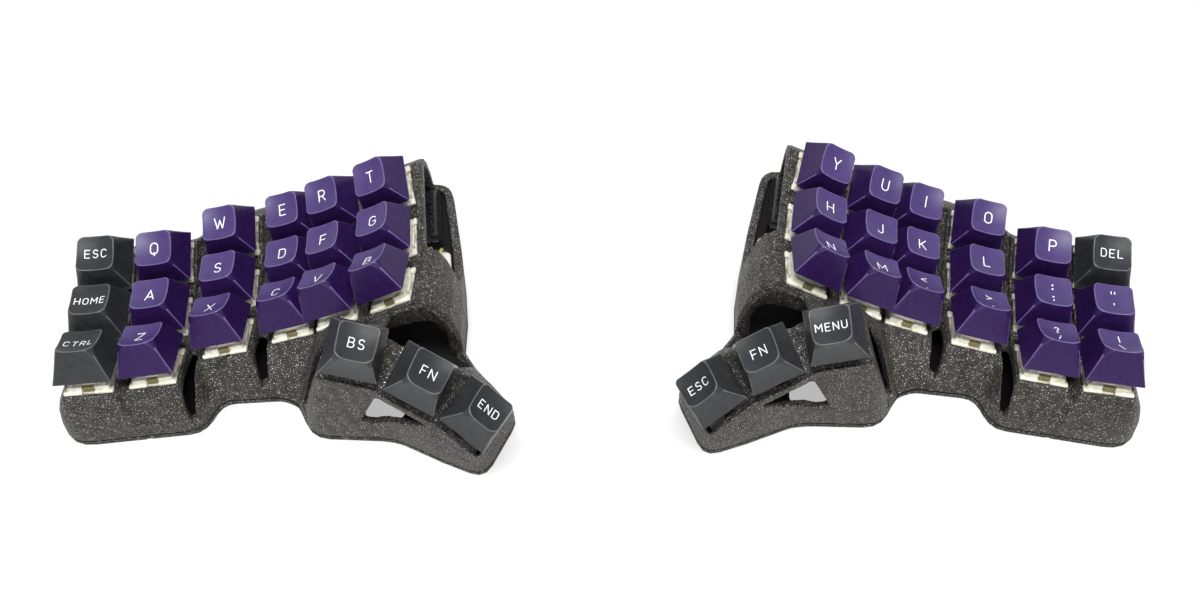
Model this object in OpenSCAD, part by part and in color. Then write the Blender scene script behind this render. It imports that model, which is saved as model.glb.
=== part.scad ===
// Split keyboard with two keywell halves, 18 finger keys and 3 thumb keys in each half.
// Each half is drawn as the right hand's, with x outward, y away from the typist and z up from the table.
// The left half is its mirror image.

/* [Keycaps] */
// Side of a keycap at its lower edge
cap_base = 18.2; // [17.6:0.1:18.4]
// Width of a keycap's top
cap_top_w = 11.9; // [10.5:0.1:13]
// Depth of a keycap's top
cap_top_d = 12.1; // [10.5:0.1:13]
// Height of the top, row by row from the rear, then the thumb keys
cap_height = [10.4, 10.5, 10.6, 11.0];
// Slope of the top, row by row from the rear, then the thumb keys
cap_slope = [3, -6, -14, -11];
// Radius of the spherical dish in the top
cap_dish_r = 21; // [16:1:40]
// Radius of the hollow sides
cap_side_r = 75; // [50:5:120]
// Wall of a keycap
cap_wall = 1.5; // [1.1:0.1:1.8]
// Roof of a keycap under its dish
cap_roof = 1.8; // [1.2:0.1:2.4]
// Radius of the post that holds a keycap on its stem
post_r = 2.75; // [2.5:0.05:2.8]

/* [Switches] */
// Lower edge of a keycap above its key plate
cap_lift = 6.5; // [5.8:0.1:7.5]
// Travel of a key
key_travel = 4; // [2:0.1:4]
// Side of the switch flange
flange_w = 15.6; // [15:0.1:16]
// Thickness of the switch flange
flange_t = 1.0; // [0.7:0.1:1.3]
// Side of the lower switch housing
body_w = 13.8; // [13.4:0.1:13.9]
// Depth of the lower switch housing under the plate
body_h = 5; // [4:0.1:5.4]
// Height of the upper switch housing over the plate
hood_h = 6.2; // [5:0.1:6.4]
// Width of the upper switch housing's roof
hood_top = 10.6; // [9.5:0.1:11.5]
// Width of the stem
stem_w = 6.6; // [6.2:0.1:7]
// Depth of the stem
stem_d = 5.4; // [5.2:0.1:5.6]
// Clearance round the stem
stem_gap = 0.35; // [0.3:0.05:0.6]

/* [Finger keys] */
// Angle between rows
row_angle = 13.5; // [12:0.1:15]
// Angle between columns
column_angle = 5.4; // [4.8:0.1:6]
// Radius of a column's curve
row_radius = 92.5; // [88:0.5:100]
// Radius of a row's curve
column_radius = 215.5; // [205:0.5:230]
// Row that lies level, counted from the rear
centre_row = 0.9; // [0.7:0.05:1.1]
// Column that lies level, counted from the inside
centre_column = 2.5; // [2.3:0.1:2.7]
// Slope of a half from its inner side to its outer side
tent = 11.4; // [10:0.1:13]
// Height of the keywell's floor
bowl_height = 16.7; // [15.5:0.1:20]
// Columns moved forward or back, from the inside out
column_stagger = [2, 1.8, 3.8, -1.2, -12.6, -15.3];
// Columns raised or lowered, from the inside out
column_lift = [-2.2, -2.3, -5.6, 0.6, 6.7, 10.4];
// Columns moved sideways, from the inside out
column_shift = [-0.6, 0.4, -0.8, 0.8, 1.2, -0.5];

/* [Thumb keys] */
// Places of the thumb keys, from the palm to the tip
thumb_at = [[-36.6, -51.2, 44.8], [-54.8, -58, 35.2], [-70.2, -66.6, 24.2]];
// Turns of the thumb keys
thumb_turn = [[15.5, -19.3, 10.5], [7.5, -28, 25.5], [0, -33, 36.5]];

/* [Case] */
// Thickness of the key plates
plate_t = 4; // [3:0.1:4.5]
// Rim of a key plate outside its switch flange
plate_rim = 0.8; // [0.5:0.1:1.2]
// Ridge beside the inner column
ridge_w = 2.6; // [1.5:0.1:3.5]
// Clearance round a switch in its plate
plate_gap = 0.2; // [0.1:0.05:0.4]
// Height of the low wall round the thumb keys above their plates
thumb_wall = 1.2; // [0:0.1:1.6]
// Thickness of the case wall
wall_t = 3.2; // [2.4:0.1:4]
// How far the wall swells between its top and its foot
wall_swell = 1.5; // [0:0.1:3]
// Height of the lip under the inner column's front edge
lip_h = 6; // [3:0.5:8]
// Height of the low rim under the side window
rim_h = 4.6; // [4:0.1:6]
// Width of the slots between columns
slot_w = 3.6; // [2:0.1:4.5]

/* [Base] */
// Thickness of the base plate
base_t = 2.2; // [2:0.1:3]
// Height of the base plate above the table
base_z = 0.6; // [0.4:0.1:1]
// Radius of a rubber foot
foot_r = 4.5; // [3:0.1:5.5]
// Thickness of a rubber foot
foot_t = 1.4; // [1.2:0.1:1.6]
// Radius of a base screw's shank
screw_r = 1.2; // [1:0.05:1.3]
// Length of a base screw under its head
screw_l = 5; // [4:0.1:5.4]
// Radius of a base screw's head
screw_head_r = 2.6; // [2.3:0.1:3]
// Outer radius of a threaded insert
insert_r = 2.1; // [1.8:0.1:2.3]
// Length of a threaded insert
insert_l = 4.5; // [4:0.1:5]
// Radius of an insert boss
boss_r = 3.8; // [3.4:0.1:4.2]

/* [Electronics] */
// Width of the controller board
board_w = 18; // [17:0.1:19]
// Length of the controller board
board_l = 24; // [22:0.5:26]
// Thickness of the controller board
board_t = 1.6; // [1:0.1:2]
// Height of the controller board above the base plate
board_lift = 2.4; // [2:0.1:3]
// Place of the controller board's middle, sideways
board_x = -51; // [-51.4:0.1:-50]
// Width of the cable socket
usb_w = 9; // [8.5:0.1:9.5]
// Height of the cable socket
usb_h = 3.3; // [3:0.1:3.5]
// Length of the cable socket
usb_l = 7.4; // [6.5:0.1:8]
// Bore radius of the link jack
jack_r = 1.8; // [1.7:0.05:1.9]
// Barrel radius of the link jack
jack_barrel_r = 3; // [2.8:0.1:3.4]
// Length of the link jack's barrel
jack_barrel_l = 6.2; // [6:0.1:7]
// Side of the link jack's body
jack_body = 6.4; // [6:0.1:7]
// Length of the link jack's body
jack_body_l = 11; // [9:0.1:13]
// Place of the link jack, sideways
jack_x = -31; // [-33:0.1:-29]
// Thickness of the controller tray's floor
tray_t = 1.2; // [1:0.1:1.6]
// Side of the small board under each switch
switch_board_w = 13.4; // [12:0.1:13.8]
// Thickness of the small board under each switch
switch_board_t = 1.2; // [1:0.1:1.6]
// Diameter of a jumper wire
wire_d = 1.1; // [0.8:0.1:1.4]

/* [Halves] */
// Place of the left half's origin on the table
left_at = [-119.9, 9.3];
// Turn of the left half
left_turn = 5.3; // [0:0.1:12]
// Place of the right half's origin on the table
right_at = [119.4, 6.3];
// Turn of the right half
right_turn = -11.7; // [-12:0.1:0]

/* [Hidden] */
$fn = 48;
SIDES = ["left", "right"];
COLUMNS = ["inner", "index", "middle", "ring", "pinky", "outer"];
ROWS = ["top", "home", "bottom"];
THUMBS = ["palm", "middle", "tip"];
THUMB = 6;
last_row = len(ROWS) - 1;
last_column = len(COLUMNS) - 1;
FINGER_KEYS = [for (c = [0 : last_column]) for (r = [0 : last_row]) [c, r]];
THUMB_KEYS = [for (t = [0 : 2]) [THUMB, t]];
KEYS = concat(FINGER_KEYS, THUMB_KEYS);

rear_y = 46.5;
clear = 0.3;
plate_w = flange_w / 2 + plate_rim;
hole_w = body_w + 2 * plate_gap;
base_top = base_z + base_t;
case_lift = base_top + 0.04;
board_z = base_top + board_lift;
usb_z = board_z + board_t + usb_h / 2;
jack_z = base_top + tray_t + 0.05 + jack_body / 2;
board_rear = rear_y - wall_t - 1.8;
eps = 0.02;
peg_r = 1.95;
pin_r = 0.7;
PINS = [[-3.8, 2.5], [2.5, 5]];

function key_name(side, k) =
    k[0] == THUMB
    ? str(side, "_thumb_", THUMBS[k[1]], "_keycap")
    : str(side, "_", COLUMNS[k[0]], "_", ROWS[k[1]], "_keycap");

// Turns of a point about the three axes
function about_x(a, p) = [p.x, p.y * cos(a) - p.z * sin(a), p.y * sin(a) + p.z * cos(a)];
function about_y(a, p) = [p.x * cos(a) + p.z * sin(a), p.y, p.z * cos(a) - p.x * sin(a)];
function about_z(a, p) = [p.x * cos(a) - p.y * sin(a), p.x * sin(a) + p.y * cos(a), p.z];
function unit(v) = v / max(norm(v), eps);

// A point given in a key's own frame, in the frame of its half
function finger_point(k, p) =
    let (on_row = about_x(row_angle * (centre_row - k[1]), p - [0, 0, row_radius]))
    let (in_column = on_row + [0, 0, row_radius - column_radius])
    let (turned = about_y(column_angle * (centre_column - k[0]), in_column))
    let (moved = turned + [column_shift[k[0]], column_stagger[k[0]], column_radius + column_lift[k[0]]])
    about_y(tent, moved) + [0, 0, bowl_height];
function thumb_point(k, p) =
    let (turn = thumb_turn[k[1]])
    about_z(turn.z, about_y(turn.y, about_x(turn.x, p))) + thumb_at[k[1]];
function key_point(k, p) = k[0] == THUMB ? thumb_point(k, p) : finger_point(k, p);

// A corner of a key's plate, with the ridge added on the inner side of the inner column
function rim(k, sx) = k[0] == 0 && sx < 0 ? ridge_w : 0;
function corner(k, sx, sy) = key_point(k, [sx * (plate_w + rim(k, sx) - 0.1), sy * (plate_w - 0.1), -0.2]);

module at_key(k) {
    if (k[0] == THUMB) {
        translate(thumb_at[k[1]])
            rotate(thumb_turn[k[1]])
                children();
    } else {
        translate([0, 0, bowl_height])
            rotate([0, tent, 0])
                translate([column_shift[k[0]], column_stagger[k[0]], column_radius + column_lift[k[0]]])
                    rotate([0, column_angle * (centre_column - k[0]), 0])
                        translate([0, 0, row_radius - column_radius])
                            rotate([row_angle * (centre_row - k[1]), 0, 0])
                                translate([0, 0, -row_radius])
                                    children();
    }
}

module at_half(side) {
    if (side == "left") {
        translate([left_at.x, left_at.y, 0])
            rotate([0, 0, left_turn])
                mirror([1, 0, 0])
                    children();
    } else {
        translate([right_at.x, right_at.y, 0])
            rotate([0, 0, right_turn])
                children();
    }
}

// Keycaps

// A flank that leans in from the lower edge to the top with a hollow curve
module flank(low, high, h) {
    lean = high - low;
    rise = norm([lean, h]);
    back = sqrt(cap_side_r * cap_side_r - rise * rise / 4);
    middle = [(low + high) / 2, h / 2] + back * unit([h, -lean]);
    translate(middle)
        circle(r = cap_side_r, $fn = 360);
}

// Outline of a keycap from one side: base half width, then the two ends of the top
module cap_outline(half, near, far, h) {
    tall = h + 3;
    lean = 3 / h;
    difference() {
        polygon([
            [-half, 0], [half, 0],
            [far + (far - half) * lean, tall], [near + (near + half) * lean, tall]
        ]);
        flank(half, far, h);
        mirror([1, 0])
            flank(half, -near, h);
    }
}

// Two outlines crossed, one seen from the front and one from the side
module crossed(half, top_w, near, far, h) {
    deep = 3 * half;
    intersection() {
        rotate([90, 0, 0])
            linear_extrude(height = deep, center = true)
                cap_outline(half, -top_w / 2, top_w / 2, h);
        rotate([90, 0, 90])
            linear_extrude(height = deep, center = true)
                cap_outline(half, near, far, h);
    }
}

module keycap_solid(set) {
    h = cap_height[set];
    slope = cap_slope[set];
    half = cap_base / 2;
    run = cap_top_d / 2 * cos(slope);
    corner_r = 0.44 * (cap_top_w + cap_top_d) * 0.71;
    reach = half * sqrt(2) - 0.25;
    sink = sqrt(cap_dish_r * cap_dish_r - corner_r * corner_r);
    roof = h - cap_roof - (cap_dish_r - sink) - 0.6;
    inner = half - cap_wall;
    difference() {
        intersection() {
            crossed(half, cap_top_w, -run, run, h);
            cylinder(h = h + 4, r1 = reach, r2 = reach - (reach - corner_r) * (h + 4) / h);
        }
        translate([0, 0, h])
            rotate([slope, 0, 0])
                translate([0, 0, sink])
                    sphere(r = cap_dish_r, $fn = 96);
        difference() {
            translate([0, 0, -1])
                intersection() {
                    rotate([90, 0, 0])
                        linear_extrude(height = 40, center = true)
                            cavity_outline(inner, cap_top_w / 2 - cap_wall, roof);
                    rotate([90, 0, 90])
                        linear_extrude(height = 40, center = true)
                            cavity_outline(inner, cap_top_d / 2 - cap_wall, roof);
                }
            translate([0, 0, -2])
                cylinder(h = h + 2, r = post_r);
        }
    }
}

// Outline of the hollow inside a keycap, which starts 1 below the lower edge
module cavity_outline(low, high, roof) {
    polygon([[-low, 0], [low, 0], [low, 1], [high, roof + 1], [-high, roof + 1], [-low, 1]]);
}

// Slider of the switch, which goes down into its housing with the keycap
module stem() {
    low = flange_t + 0.4;
    translate([-stem_w / 2, -stem_d / 2, low])
        cube([stem_w, stem_d, cap_lift - low]);
}

module keycap(side, k) {
    set = k[0] == THUMB ? len(ROWS) : k[1];
    at_half(side)
        at_key(k) {
            translate([0, 0, cap_lift])
                keycap_solid(set);
            stem();
        }
}

module keycap_node(side, k) {
    thumb = k[0] == THUMB;
    dark = thumb || (k[0] == last_column && (side == "left" || k[1] == 0));
    color(dark ? [0.17, 0.2, 0.22] : [0.2, 0.13, 0.36])
        keycap(side, k);
}

// Switches

module hood_outline(low, high) {
    polygon([[-low, flange_t], [low, flange_t], [high, hood_h], [-high, hood_h]]);
}

module switch_hood() {
    low = body_w / 2 - 0.4;
    open_w = stem_w + 2 * stem_gap;
    open_d = stem_d + 2 * stem_gap;
    difference() {
        union() {
            translate([-flange_w / 2, -flange_w / 2, eps])
                cube([flange_w, flange_w, flange_t]);
            intersection() {
                rotate([90, 0, 0])
                    linear_extrude(height = flange_w, center = true)
                        hood_outline(low, hood_top / 2);
                rotate([90, 0, 90])
                    linear_extrude(height = flange_w, center = true)
                        hood_outline(low, hood_top / 2 - 0.4);
            }
        }
        translate([-open_w / 2, -open_d / 2, -1])
            cube([open_w, open_d, hood_h + 2]);
        for (sy = [-1, 1])
            for (sx = [-1, 1])
                translate([sx * flange_w * 0.14 - 0.7, sy * flange_w / 2 - 0.5, -1])
                    cube([1.4, 1, flange_t + 3]);
    }
}

module switch_body() {
    well = key_travel - flange_t - 0.4 + clear;
    open_w = stem_w + 2 * stem_gap;
    open_d = stem_d + 2 * stem_gap;
    difference() {
        translate([-body_w / 2, -body_w / 2, -body_h])
            cube([body_w, body_w, body_h]);
        translate([-open_w / 2, -open_d / 2, -well])
            cube([open_w, open_d, well + 1]);
        for (sx = [-1, 1])
            translate([sx * body_w / 2, 0, -body_h / 2])
                cube([1.2, 4, body_h + 1], center = true);
    }
    translate([0, 0, -body_h - 3])
        cylinder(h = 3.2, r = peg_r);
    for (p = PINS)
        translate([p.x, p.y, -body_h - 3])
            cylinder(h = 3.2, r = pin_r);
}

module switch_hoods(side) {
    color([0.9, 0.89, 0.82])
        at_half(side)
            for (k = KEYS)
                at_key(k)
                    switch_hood();
}

module switch_bodies(side) {
    color([0.86, 0.85, 0.78])
        at_half(side)
            for (k = KEYS)
                at_key(k)
                    switch_body();
}

// Case

// A place over the edge of a thumb key's plate, on the low wall that hides the switch flange
function thumb_corner(t, sx, sy, wide = 0) =
    key_point([THUMB, t], [sx * (plate_w + wide), sy * (plate_w + 1.1), thumb_wall]);

// Foot of the thumb wing under such a place, moved by an offset
function wing_foot(t, sx, sy, by, wide = 0) = flat(thumb_corner(t, sx, sy, wide)) + by;

// The crease between two columns, a little inside the line between their corners
function crease(a, b, into) = (a + b) / 2 + [0, into, -into];

// Stations round the foot of the case, counterclockwise: top, foot, rounding of the foot, fullness
function wall_stations() = [
    [corner([2, 2], -1, -1), [-8.7, -44.4], 1.5, 0.1],
    [corner([2, 2], 1, -1), [-3.4, -41.2], 3, 0.3],
    [corner([3, 2], -1, -1), [2, -41], 0, 0.3],
    [corner([3, 2], 1, -1), [17.4, -40.2], 4, 0.3],
    [corner([4, 2], -1, -1), [23.2, -50.6], 5, 0.6],
    [corner([4, 2], 1, -1), [40.8, -50.6], 0, 0.7],
    [crease(corner([4, 2], 1, -1), corner([5, 2], -1, -1), 0.8), [42, -50.3], 0, 0.7],
    [corner([5, 2], -1, -1), [43.2, -50.6], 0, 0.7],
    [corner([5, 2], 1, -1), [70.9, -50.6], 11, 0.35],
    [corner([5, 1], 1, 0), [71.1, -16], 0, 0],
    [corner([5, 0], 1, 1), [69.2, 24.5], 11, 0.1],
    [corner([5, 0], -1, 1), [43.4, 26], 0, 0.4],
    [corner([4, 0], 1, 1), [40.4, 26.4], 0, 0.4],
    [corner([4, 0], -1, 1), [27, 28], 5, 0.4],
    [corner([3, 0], 1, 1), [20, 39], 6, 0.4],
    [corner([3, 0], -1, 1), [3, 42], 0, 0.5],
    [corner([2, 0], 1, 1), [-1, 43.5], 2, 0.5],
    [corner([2, 0], -1, 1), [-19, rear_y], 2, 0.6],
    [corner([1, 0], 1, 1), [-22, rear_y], 0, 0.7],
    [corner([1, 0], -1, 1), [-38, rear_y], 0, 0.7],
    [corner([0, 0], 1, 1), [-41, rear_y], 0, 0.7],
    [corner([0, 0], -1, 1), [-65.6, rear_y], 7, 0.7],
    [corner([0, 1], -1, 1), [-68, 16], 0, 0.8],
    [corner([0, 1], -1, -1), [-69, -4], 0, 0.9],
    [corner([0, 2], -1, 0), [-69, -18], 0, 1],
    [corner([0, 2], -1, -1) + [0, -0.4, -1], [-67.6, -30.4], 0, 1],
    [[-66.4, -31.6, rim_h + 2], [-67.4, -31.6], 0, 1],
    [[-70.3, -39.3, rim_h + 3], [-71, -39], 0, 1],
    [thumb_corner(1, -1, 1), wing_foot(1, -1, 1, [-9.2, 7.7]), 0, 0.5],
    [thumb_corner(2, 1, 1), wing_foot(2, 1, 1, [-7.3, 6.9]), 3, 0.5],
    [thumb_corner(2, -1, 1, 1.1), wing_foot(2, -1, 1, [-1.8, 5.8], 1.1), 4.5, 0.5],
    [thumb_corner(2, -1, -1, 1.1), wing_foot(2, -1, -1, [-0.5, 1], 1.1), 5.5, 0.5],
    [thumb_corner(2, 1, -1), wing_foot(2, 1, -1, [1.2, -0.5]), 0, 0.6],
    [thumb_corner(1, -1, -1), wing_foot(1, -1, -1, [1.4, 0.3]), 0, 0.6],
    [thumb_corner(1, 1, -1), wing_foot(1, 1, -1, [-0.3, 1.1]), 2, 0.6],
    [thumb_corner(0, -1, -1), wing_foot(0, -1, -1, [3.9, 1.3]), 2, 0.5],
    [thumb_corner(0, 1, -1, 1.1), [-14, -57], 6, 0.15],
    [corner([THUMB, 0], 1, 1), [-10.6, -48.4], 1.5, 0]
];

// Points that round the corner at b on the way from a to c
function rounded(a, b, c, cut, steps) =
    cut == 0 ? [b] :
    [for (i = [0 : steps])
        let (s = i / steps)
        let (p = b + cut * unit(a - b))
        let (q = b + cut * unit(c - b))
        (1 - s) * (1 - s) * p + 2 * s * (1 - s) * b + s * s * q];

function around(list, i) = list[(i + len(list)) % len(list)];
function flat(p) = [p.x, p.y];
function edge_normal(a, b) = let (t = unit(b - a)) [-t.y, t.x];

// The way in from a corner of a loop: a move of 1 along it keeps both edges 1 inside
function way_in(loop, i) =
    let (n = edge_normal(around(loop, i - 1), loop[i]))
    let (m = edge_normal(loop[i], around(loop, i + 1)))
    (n + m) / max(1 + n * m, 0.5);

function corner_steps(cut) = cut > 6 ? 5 : cut > 2.5 ? 3 : 2;
function rounded_loop(loop, cuts, steps) =
    [for (i = [0 : len(loop) - 1])
        each rounded(around(loop, i - 1), loop[i], around(loop, i + 1), cuts[i], steps[i])];

// Rounding of a corner after a move inward: smaller at an outer corner, larger at an inner one
function moved_cut(loop, i, cut, in) =
    let (n = edge_normal(around(loop, i - 1), loop[i]))
    let (t = unit(around(loop, i + 1) - loop[i]))
    cut == 0 ? 0 : max(cut - in * sign(n * t), 0.8);

// Foot of the wall, moved in by a distance
function foot_loop(st, in) =
    let (feet = [for (s = st) s[1]])
    let (each_i = [0 : len(st) - 1])
    let (moved = [for (i = each_i) feet[i] + in * way_in(feet, i)])
    let (cuts = [for (i = each_i) moved_cut(feet, i, st[i][2], in)])
    rounded_loop(moved, cuts, [for (s = st) corner_steps(s[2])]);
function top_loop(st) =
    rounded_loop([for (s = st) s[0]], [for (s = st) min(s[2], 1.6)], [for (s = st) corner_steps(s[2])]);
function fullness(st) = [for (s = st) each [for (i = [0 : s[2] == 0 ? 0 : corner_steps(s[2])]) s[3]]];

// Outer curve of the wall at one station, from its top to its foot: a straight slope at fullness 0
function wall_curve(top, foot, into, full, s) =
    let (gap = concat(foot - flat(top), 0))
    let (rise = [0, 0, top.z - case_lift])
    let (out = wall_swell * full * unit(into))
    let (p0 = top)
    let (p1 = top + (0.33 + 0.3 * full) * gap - (0.33 - 0.27 * full) * rise)
    let (p3 = [foot.x, foot.y, case_lift])
    let (p2 = p3 - 0.33 * (1 - full) * gap + (0.33 + 0.17 * full) * rise - [out.x, out.y, 0])
    let (u = 1 - s)
    u * u * u * p0 + 3 * u * u * s * p1 + 3 * u * s * s * p2 + s * s * s * p3;

WALL_LEVELS = 4;

// Closed section of the wall at one station: down the outside, then up the inside
function wall_section(top, foot, into, full) =
    let (outside = [for (j = [0 : WALL_LEVELS]) wall_curve(top, foot, into, full, j / WALL_LEVELS)])
    let (inside = [for (j = [WALL_LEVELS : -1 : 0])
        let (s = j / WALL_LEVELS)
        let (step = (0.5 + 0.5 * s) * into)
        outside[j] + [step.x, step.y, -(plate_t - 1) * pow(1 - s, 2)]])
    concat(outside, inside);

module wall() {
    st = wall_stations();
    feet = foot_loop(st, 0);
    inner = foot_loop(st, wall_t);
    tops = top_loop(st);
    full = fullness(st);
    count = len(feet);
    ring = 2 * (WALL_LEVELS + 1);
    points = [for (i = [0 : count - 1]) each wall_section(tops[i], feet[i], inner[i] - feet[i], full[i])];
    faces = [for (i = [0 : count - 1]) for (j = [0 : ring - 1])
        let (a = i * ring + j)
        let (b = i * ring + (j + 1) % ring)
        let (c = (i + 1) % count * ring + (j + 1) % ring)
        let (d = (i + 1) % count * ring + j)
        each [[a, c, b], [a, d, c]]];
    polyhedron(points = points, faces = faces, convexity = 12);
}

// A bar inside the plate along one edge, between two places on that edge, thinner by the drop on both faces
module edge_bar(k, sx0, sy0, sx1, sy1, drop) {
    bar = 0.4;
    reach = plate_w - 0.5 - 0.4 * drop;
    at_key(k)
        hull()
            for (s = [[sx0, sy0], [sx1, sy1]])
                translate([s[0] * reach, s[1] * reach, -plate_t / 2])
                    cube([bar, bar, plate_t - 2 * drop], center = true);
}

// A web between the edges of two plates; each kind has its own drop, so no two webs share a face
module web(a, b, drop) {
    hull() {
        edge_bar(a[0], a[1], a[2], a[3], a[4], drop);
        edge_bar(b[0], b[1], b[2], b[3], b[4], drop);
    }
}

module key_plate(k) {
    at_key(k)
        translate([-plate_w - rim(k, -1), -plate_w, -plate_t])
            cube([2 * plate_w + rim(k, -1), 2 * plate_w, plate_t]);
}

module plates() {
    for (k = KEYS)
        key_plate(k);
}

module finger_webs() {
    for (c = [0 : last_column])
        for (r = [0 : last_row - 1])
            web([[c, r], -1, -1, 1, -1], [[c, r + 1], -1, 1, 1, 1], 0.25);
    for (c = [0 : last_column - 1]) {
        for (r = [0 : last_row])
            web([[c, r], 1, -1, 1, 1], [[c + 1, r], -1, -1, -1, 1], 0.8);
        for (r = [0 : last_row - 1])
            hull() {
                edge_bar([c, r], 1, -1, 1, -1, 1.3);
                edge_bar([c, r + 1], 1, 1, 1, 1, 1.3);
                edge_bar([c + 1, r], -1, -1, -1, -1, 1.3);
                edge_bar([c + 1, r + 1], -1, 1, -1, 1, 1.3);
            }
    }
    for (r = [0 : last_row - 1])
        hull() {
            ridge_end([0, r], -1);
            ridge_end([0, r + 1], 1);
        }
}

// End of the ridge beside the inner column at the front or rear edge of a plate
module ridge_end(k, sy) {
    at_key(k)
        translate([-plate_w - ridge_w / 2 + 0.3, sy * (plate_w - 0.7), -plate_t / 2])
            cube([ridge_w + 0.2, 0.4, plate_t - 0.9], center = true);
}

module thumb_webs() {
    palm = [THUMB, 0];
    middle = [THUMB, 1];
    tip = [THUMB, 2];
    web([palm, -1, -1, -1, 1], [middle, 1, -1, 1, 1], 0.3);
    web([middle, -1, -1, -1, 1], [tip, 1, -1, 1, 1], 0.3);
    web([palm, -1, 1, 1, 1], [[1, 2], -1, -1, 1, -1], 0.6);
    web([palm, -0.9, 1, 0, 1], [[0, 2], 0.1, -1, 0.95, -1], 1.1);
    hull() {
        edge_bar([0, 2], -0.97, -1, 0.97, -1, 0.4);
        translate([0, -0.6, -lip_h])
            edge_bar([0, 2], -0.97, -1, 0.97, -1, 0.4);
    }
}

module switch_cut() {
    deep = body_h + switch_board_t + 0.6;
    translate([-hole_w / 2, -hole_w / 2, -deep])
        cube([hole_w, hole_w, deep + 1]);
}

// Large window in the inner side, with a low rim that rises to the band in front of it
module side_window() {
    edge = finger_point([0, 1], [-plate_w - ridge_w, 0, 0]);
    translate([edge.x + ridge_w * 0.2, 0, 0])
        rotate([90, 0, -90])
            linear_extrude(height = 30)
                polygon([[-rear_y - 20, rim_h], [-8, rim_h], [0, rim_h + 2.5], [5, rim_h + 7],
                         [9, rim_h + 13], [8.5, 24], [6, 27], [2, 60], [-rear_y - 20, 60]]);
}

// Rounded opening in the front wall of the thumb wing, under the middle thumb key's plate
module wing_window() {
    face = 27;
    hull()
        for (p = [[-36.6, -60, 17.2, 2.2], [-42.4, -63, 33, 1.8], [-55.2, -69.4, 26.6, 0.8]])
            translate([p[0], p[1], p[2]])
                rotate([90, 0, face])
                    translate([0, 0, -7])
                        cylinder(h = 18, r = p[3], $fn = 14);
}

// An upright slot along a line, with its lower and upper ends given as points and half widths
module slot(low, high, low_r, high_r) {
    hull() {
        for (p = low)
            translate(p)
                cylinder(h = 0.5, r = low_r, $fn = 8);
        for (p = high)
            translate(p)
                cylinder(h = 0.5, r = high_r, $fn = 8);
    }
}

module column_slots() {
    wide = slot_w / 2;
    slot([[25, -54, 8], [23.6, -38, 8]], [[22.3, -54, 28], [22.3, -20, 28]], 0.4 * wide, 0.95 * wide);
    slot([[1.4, -44, 8.4], [0.8, -32, 8.4]], [[0.3, -44, 24], [0.1, -14, 24]], 0.5 * wide, 1.2 * wide);
    slot([[-11.5, -50.7, 6], [-19.9, -38.7, 6]], [[-15, -53.3, 46], [-23.6, -40.6, 46]],
         1.2 * wide, 2.7 * wide);
}

// Portal at the front end of the inner band: a rounded arch under the inner column's front edge
module portal() {
    st = wall_stations()[25];
    line = [for (j = [0 : WALL_LEVELS]) wall_curve(st[0], st[1], [1, 0], st[3], j / WALL_LEVELS)];
    far = corner([0, 2], 1, -1);
    arch = concat(
        [[-62.6, case_lift + 0.3], [-62.6, 8]],
        [for (a = [180 : -18 : 90]) [-56.6 + 7 * cos(a), 18.5 + 9.5 * sin(a)]],
        [[far.x, 25.6], [far.x, far.z - 1]]
    );
    outer = [for (q = line) [q.x + 1.2, max(q.z - 1, case_lift + 0.3)]];
    loop = concat(outer, arch);
    translate([0, -28.4, 0])
        rotate([90, 0, 0])
            linear_extrude(height = 3)
                polygon(loop);
}

BOSSES = [[58, -44.1], [57, 18.4], [-20, 40], [-73, -65], [-18.5, -50.4]];

module boss(p) {
    translate([p.x, p.y, case_lift])
        cylinder(h = insert_l + 1.2, r = boss_r, $fn = 20);
}

module case_shell() {
    difference() {
        union() {
            wall();
            plates();
            finger_webs();
            thumb_webs();
            portal();
            for (p = BOSSES)
                boss(p);
        }
        for (k = KEYS)
            at_key(k)
                switch_cut();
        side_window();
        wing_window();
        column_slots();
        for (p = BOSSES)
            translate([p.x, p.y, 0])
                cylinder(h = case_lift + insert_l + clear, r = insert_r + 0.1, $fn = 20);
        translate([board_x - usb_w / 2 - clear, rear_y - 12, usb_z - usb_h / 2 - clear])
            cube([usb_w + 2 * clear, 30, usb_h + 2 * clear]);
        translate([jack_x, rear_y + 10, jack_z])
            rotate([90, 0, 0])
                cylinder(h = 30, r = jack_barrel_r + clear, $fn = 24);
    }
}

module case_node(side) {
    color([0.27, 0.26, 0.24])
        at_half(side)
            case_shell();
}

// Base

FEET = [[48, -42], [47, 14], [-52, 30], [-60, -61], [-8, 30]];

// Openings in the base plate: two corners of each
VENTS = [[[-64, 3], [-52, 16]], [[-46, -54], [-32, -42]]];

module vent(a, b) {
    loop = [[a.x, a.y], [b.x, a.y], [b.x, b.y], [a.x, b.y]];
    translate([0, 0, base_z - 1])
        linear_extrude(height = base_t + 2)
            polygon(rounded_loop(loop, [3, 3, 3, 3], [4, 4, 4, 4]));
}

module base_plate(side) {
    color([0.2, 0.2, 0.19])
        at_half(side)
            difference() {
                translate([0, 0, base_z])
                    linear_extrude(height = base_t)
                        polygon(foot_loop(wall_stations(), 0));
                for (v = VENTS)
                    vent(v[0], v[1]);
                for (p = BOSSES)
                    translate([p.x, p.y, 0]) {
                        cylinder(h = 10, r = screw_r + clear);
                        cylinder(h = base_z + 1.4, r = screw_head_r + clear);
                    }
                for (p = FEET)
                    translate([p.x, p.y, 0])
                        cylinder(h = foot_t, r = foot_r + 0.1);
            }
}

module base_screw() {
    head = base_z + 0.1;
    translate([0, 0, head])
        cylinder(h = 1.2, r = screw_head_r);
    translate([0, 0, head + 1])
        cylinder(h = screw_l, r = screw_r);
}

module base_screws() {
    color([0.55, 0.55, 0.56])
        for (side = SIDES)
            at_half(side)
                for (p = BOSSES)
                    translate([p.x, p.y, 0])
                        base_screw();
}

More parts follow.
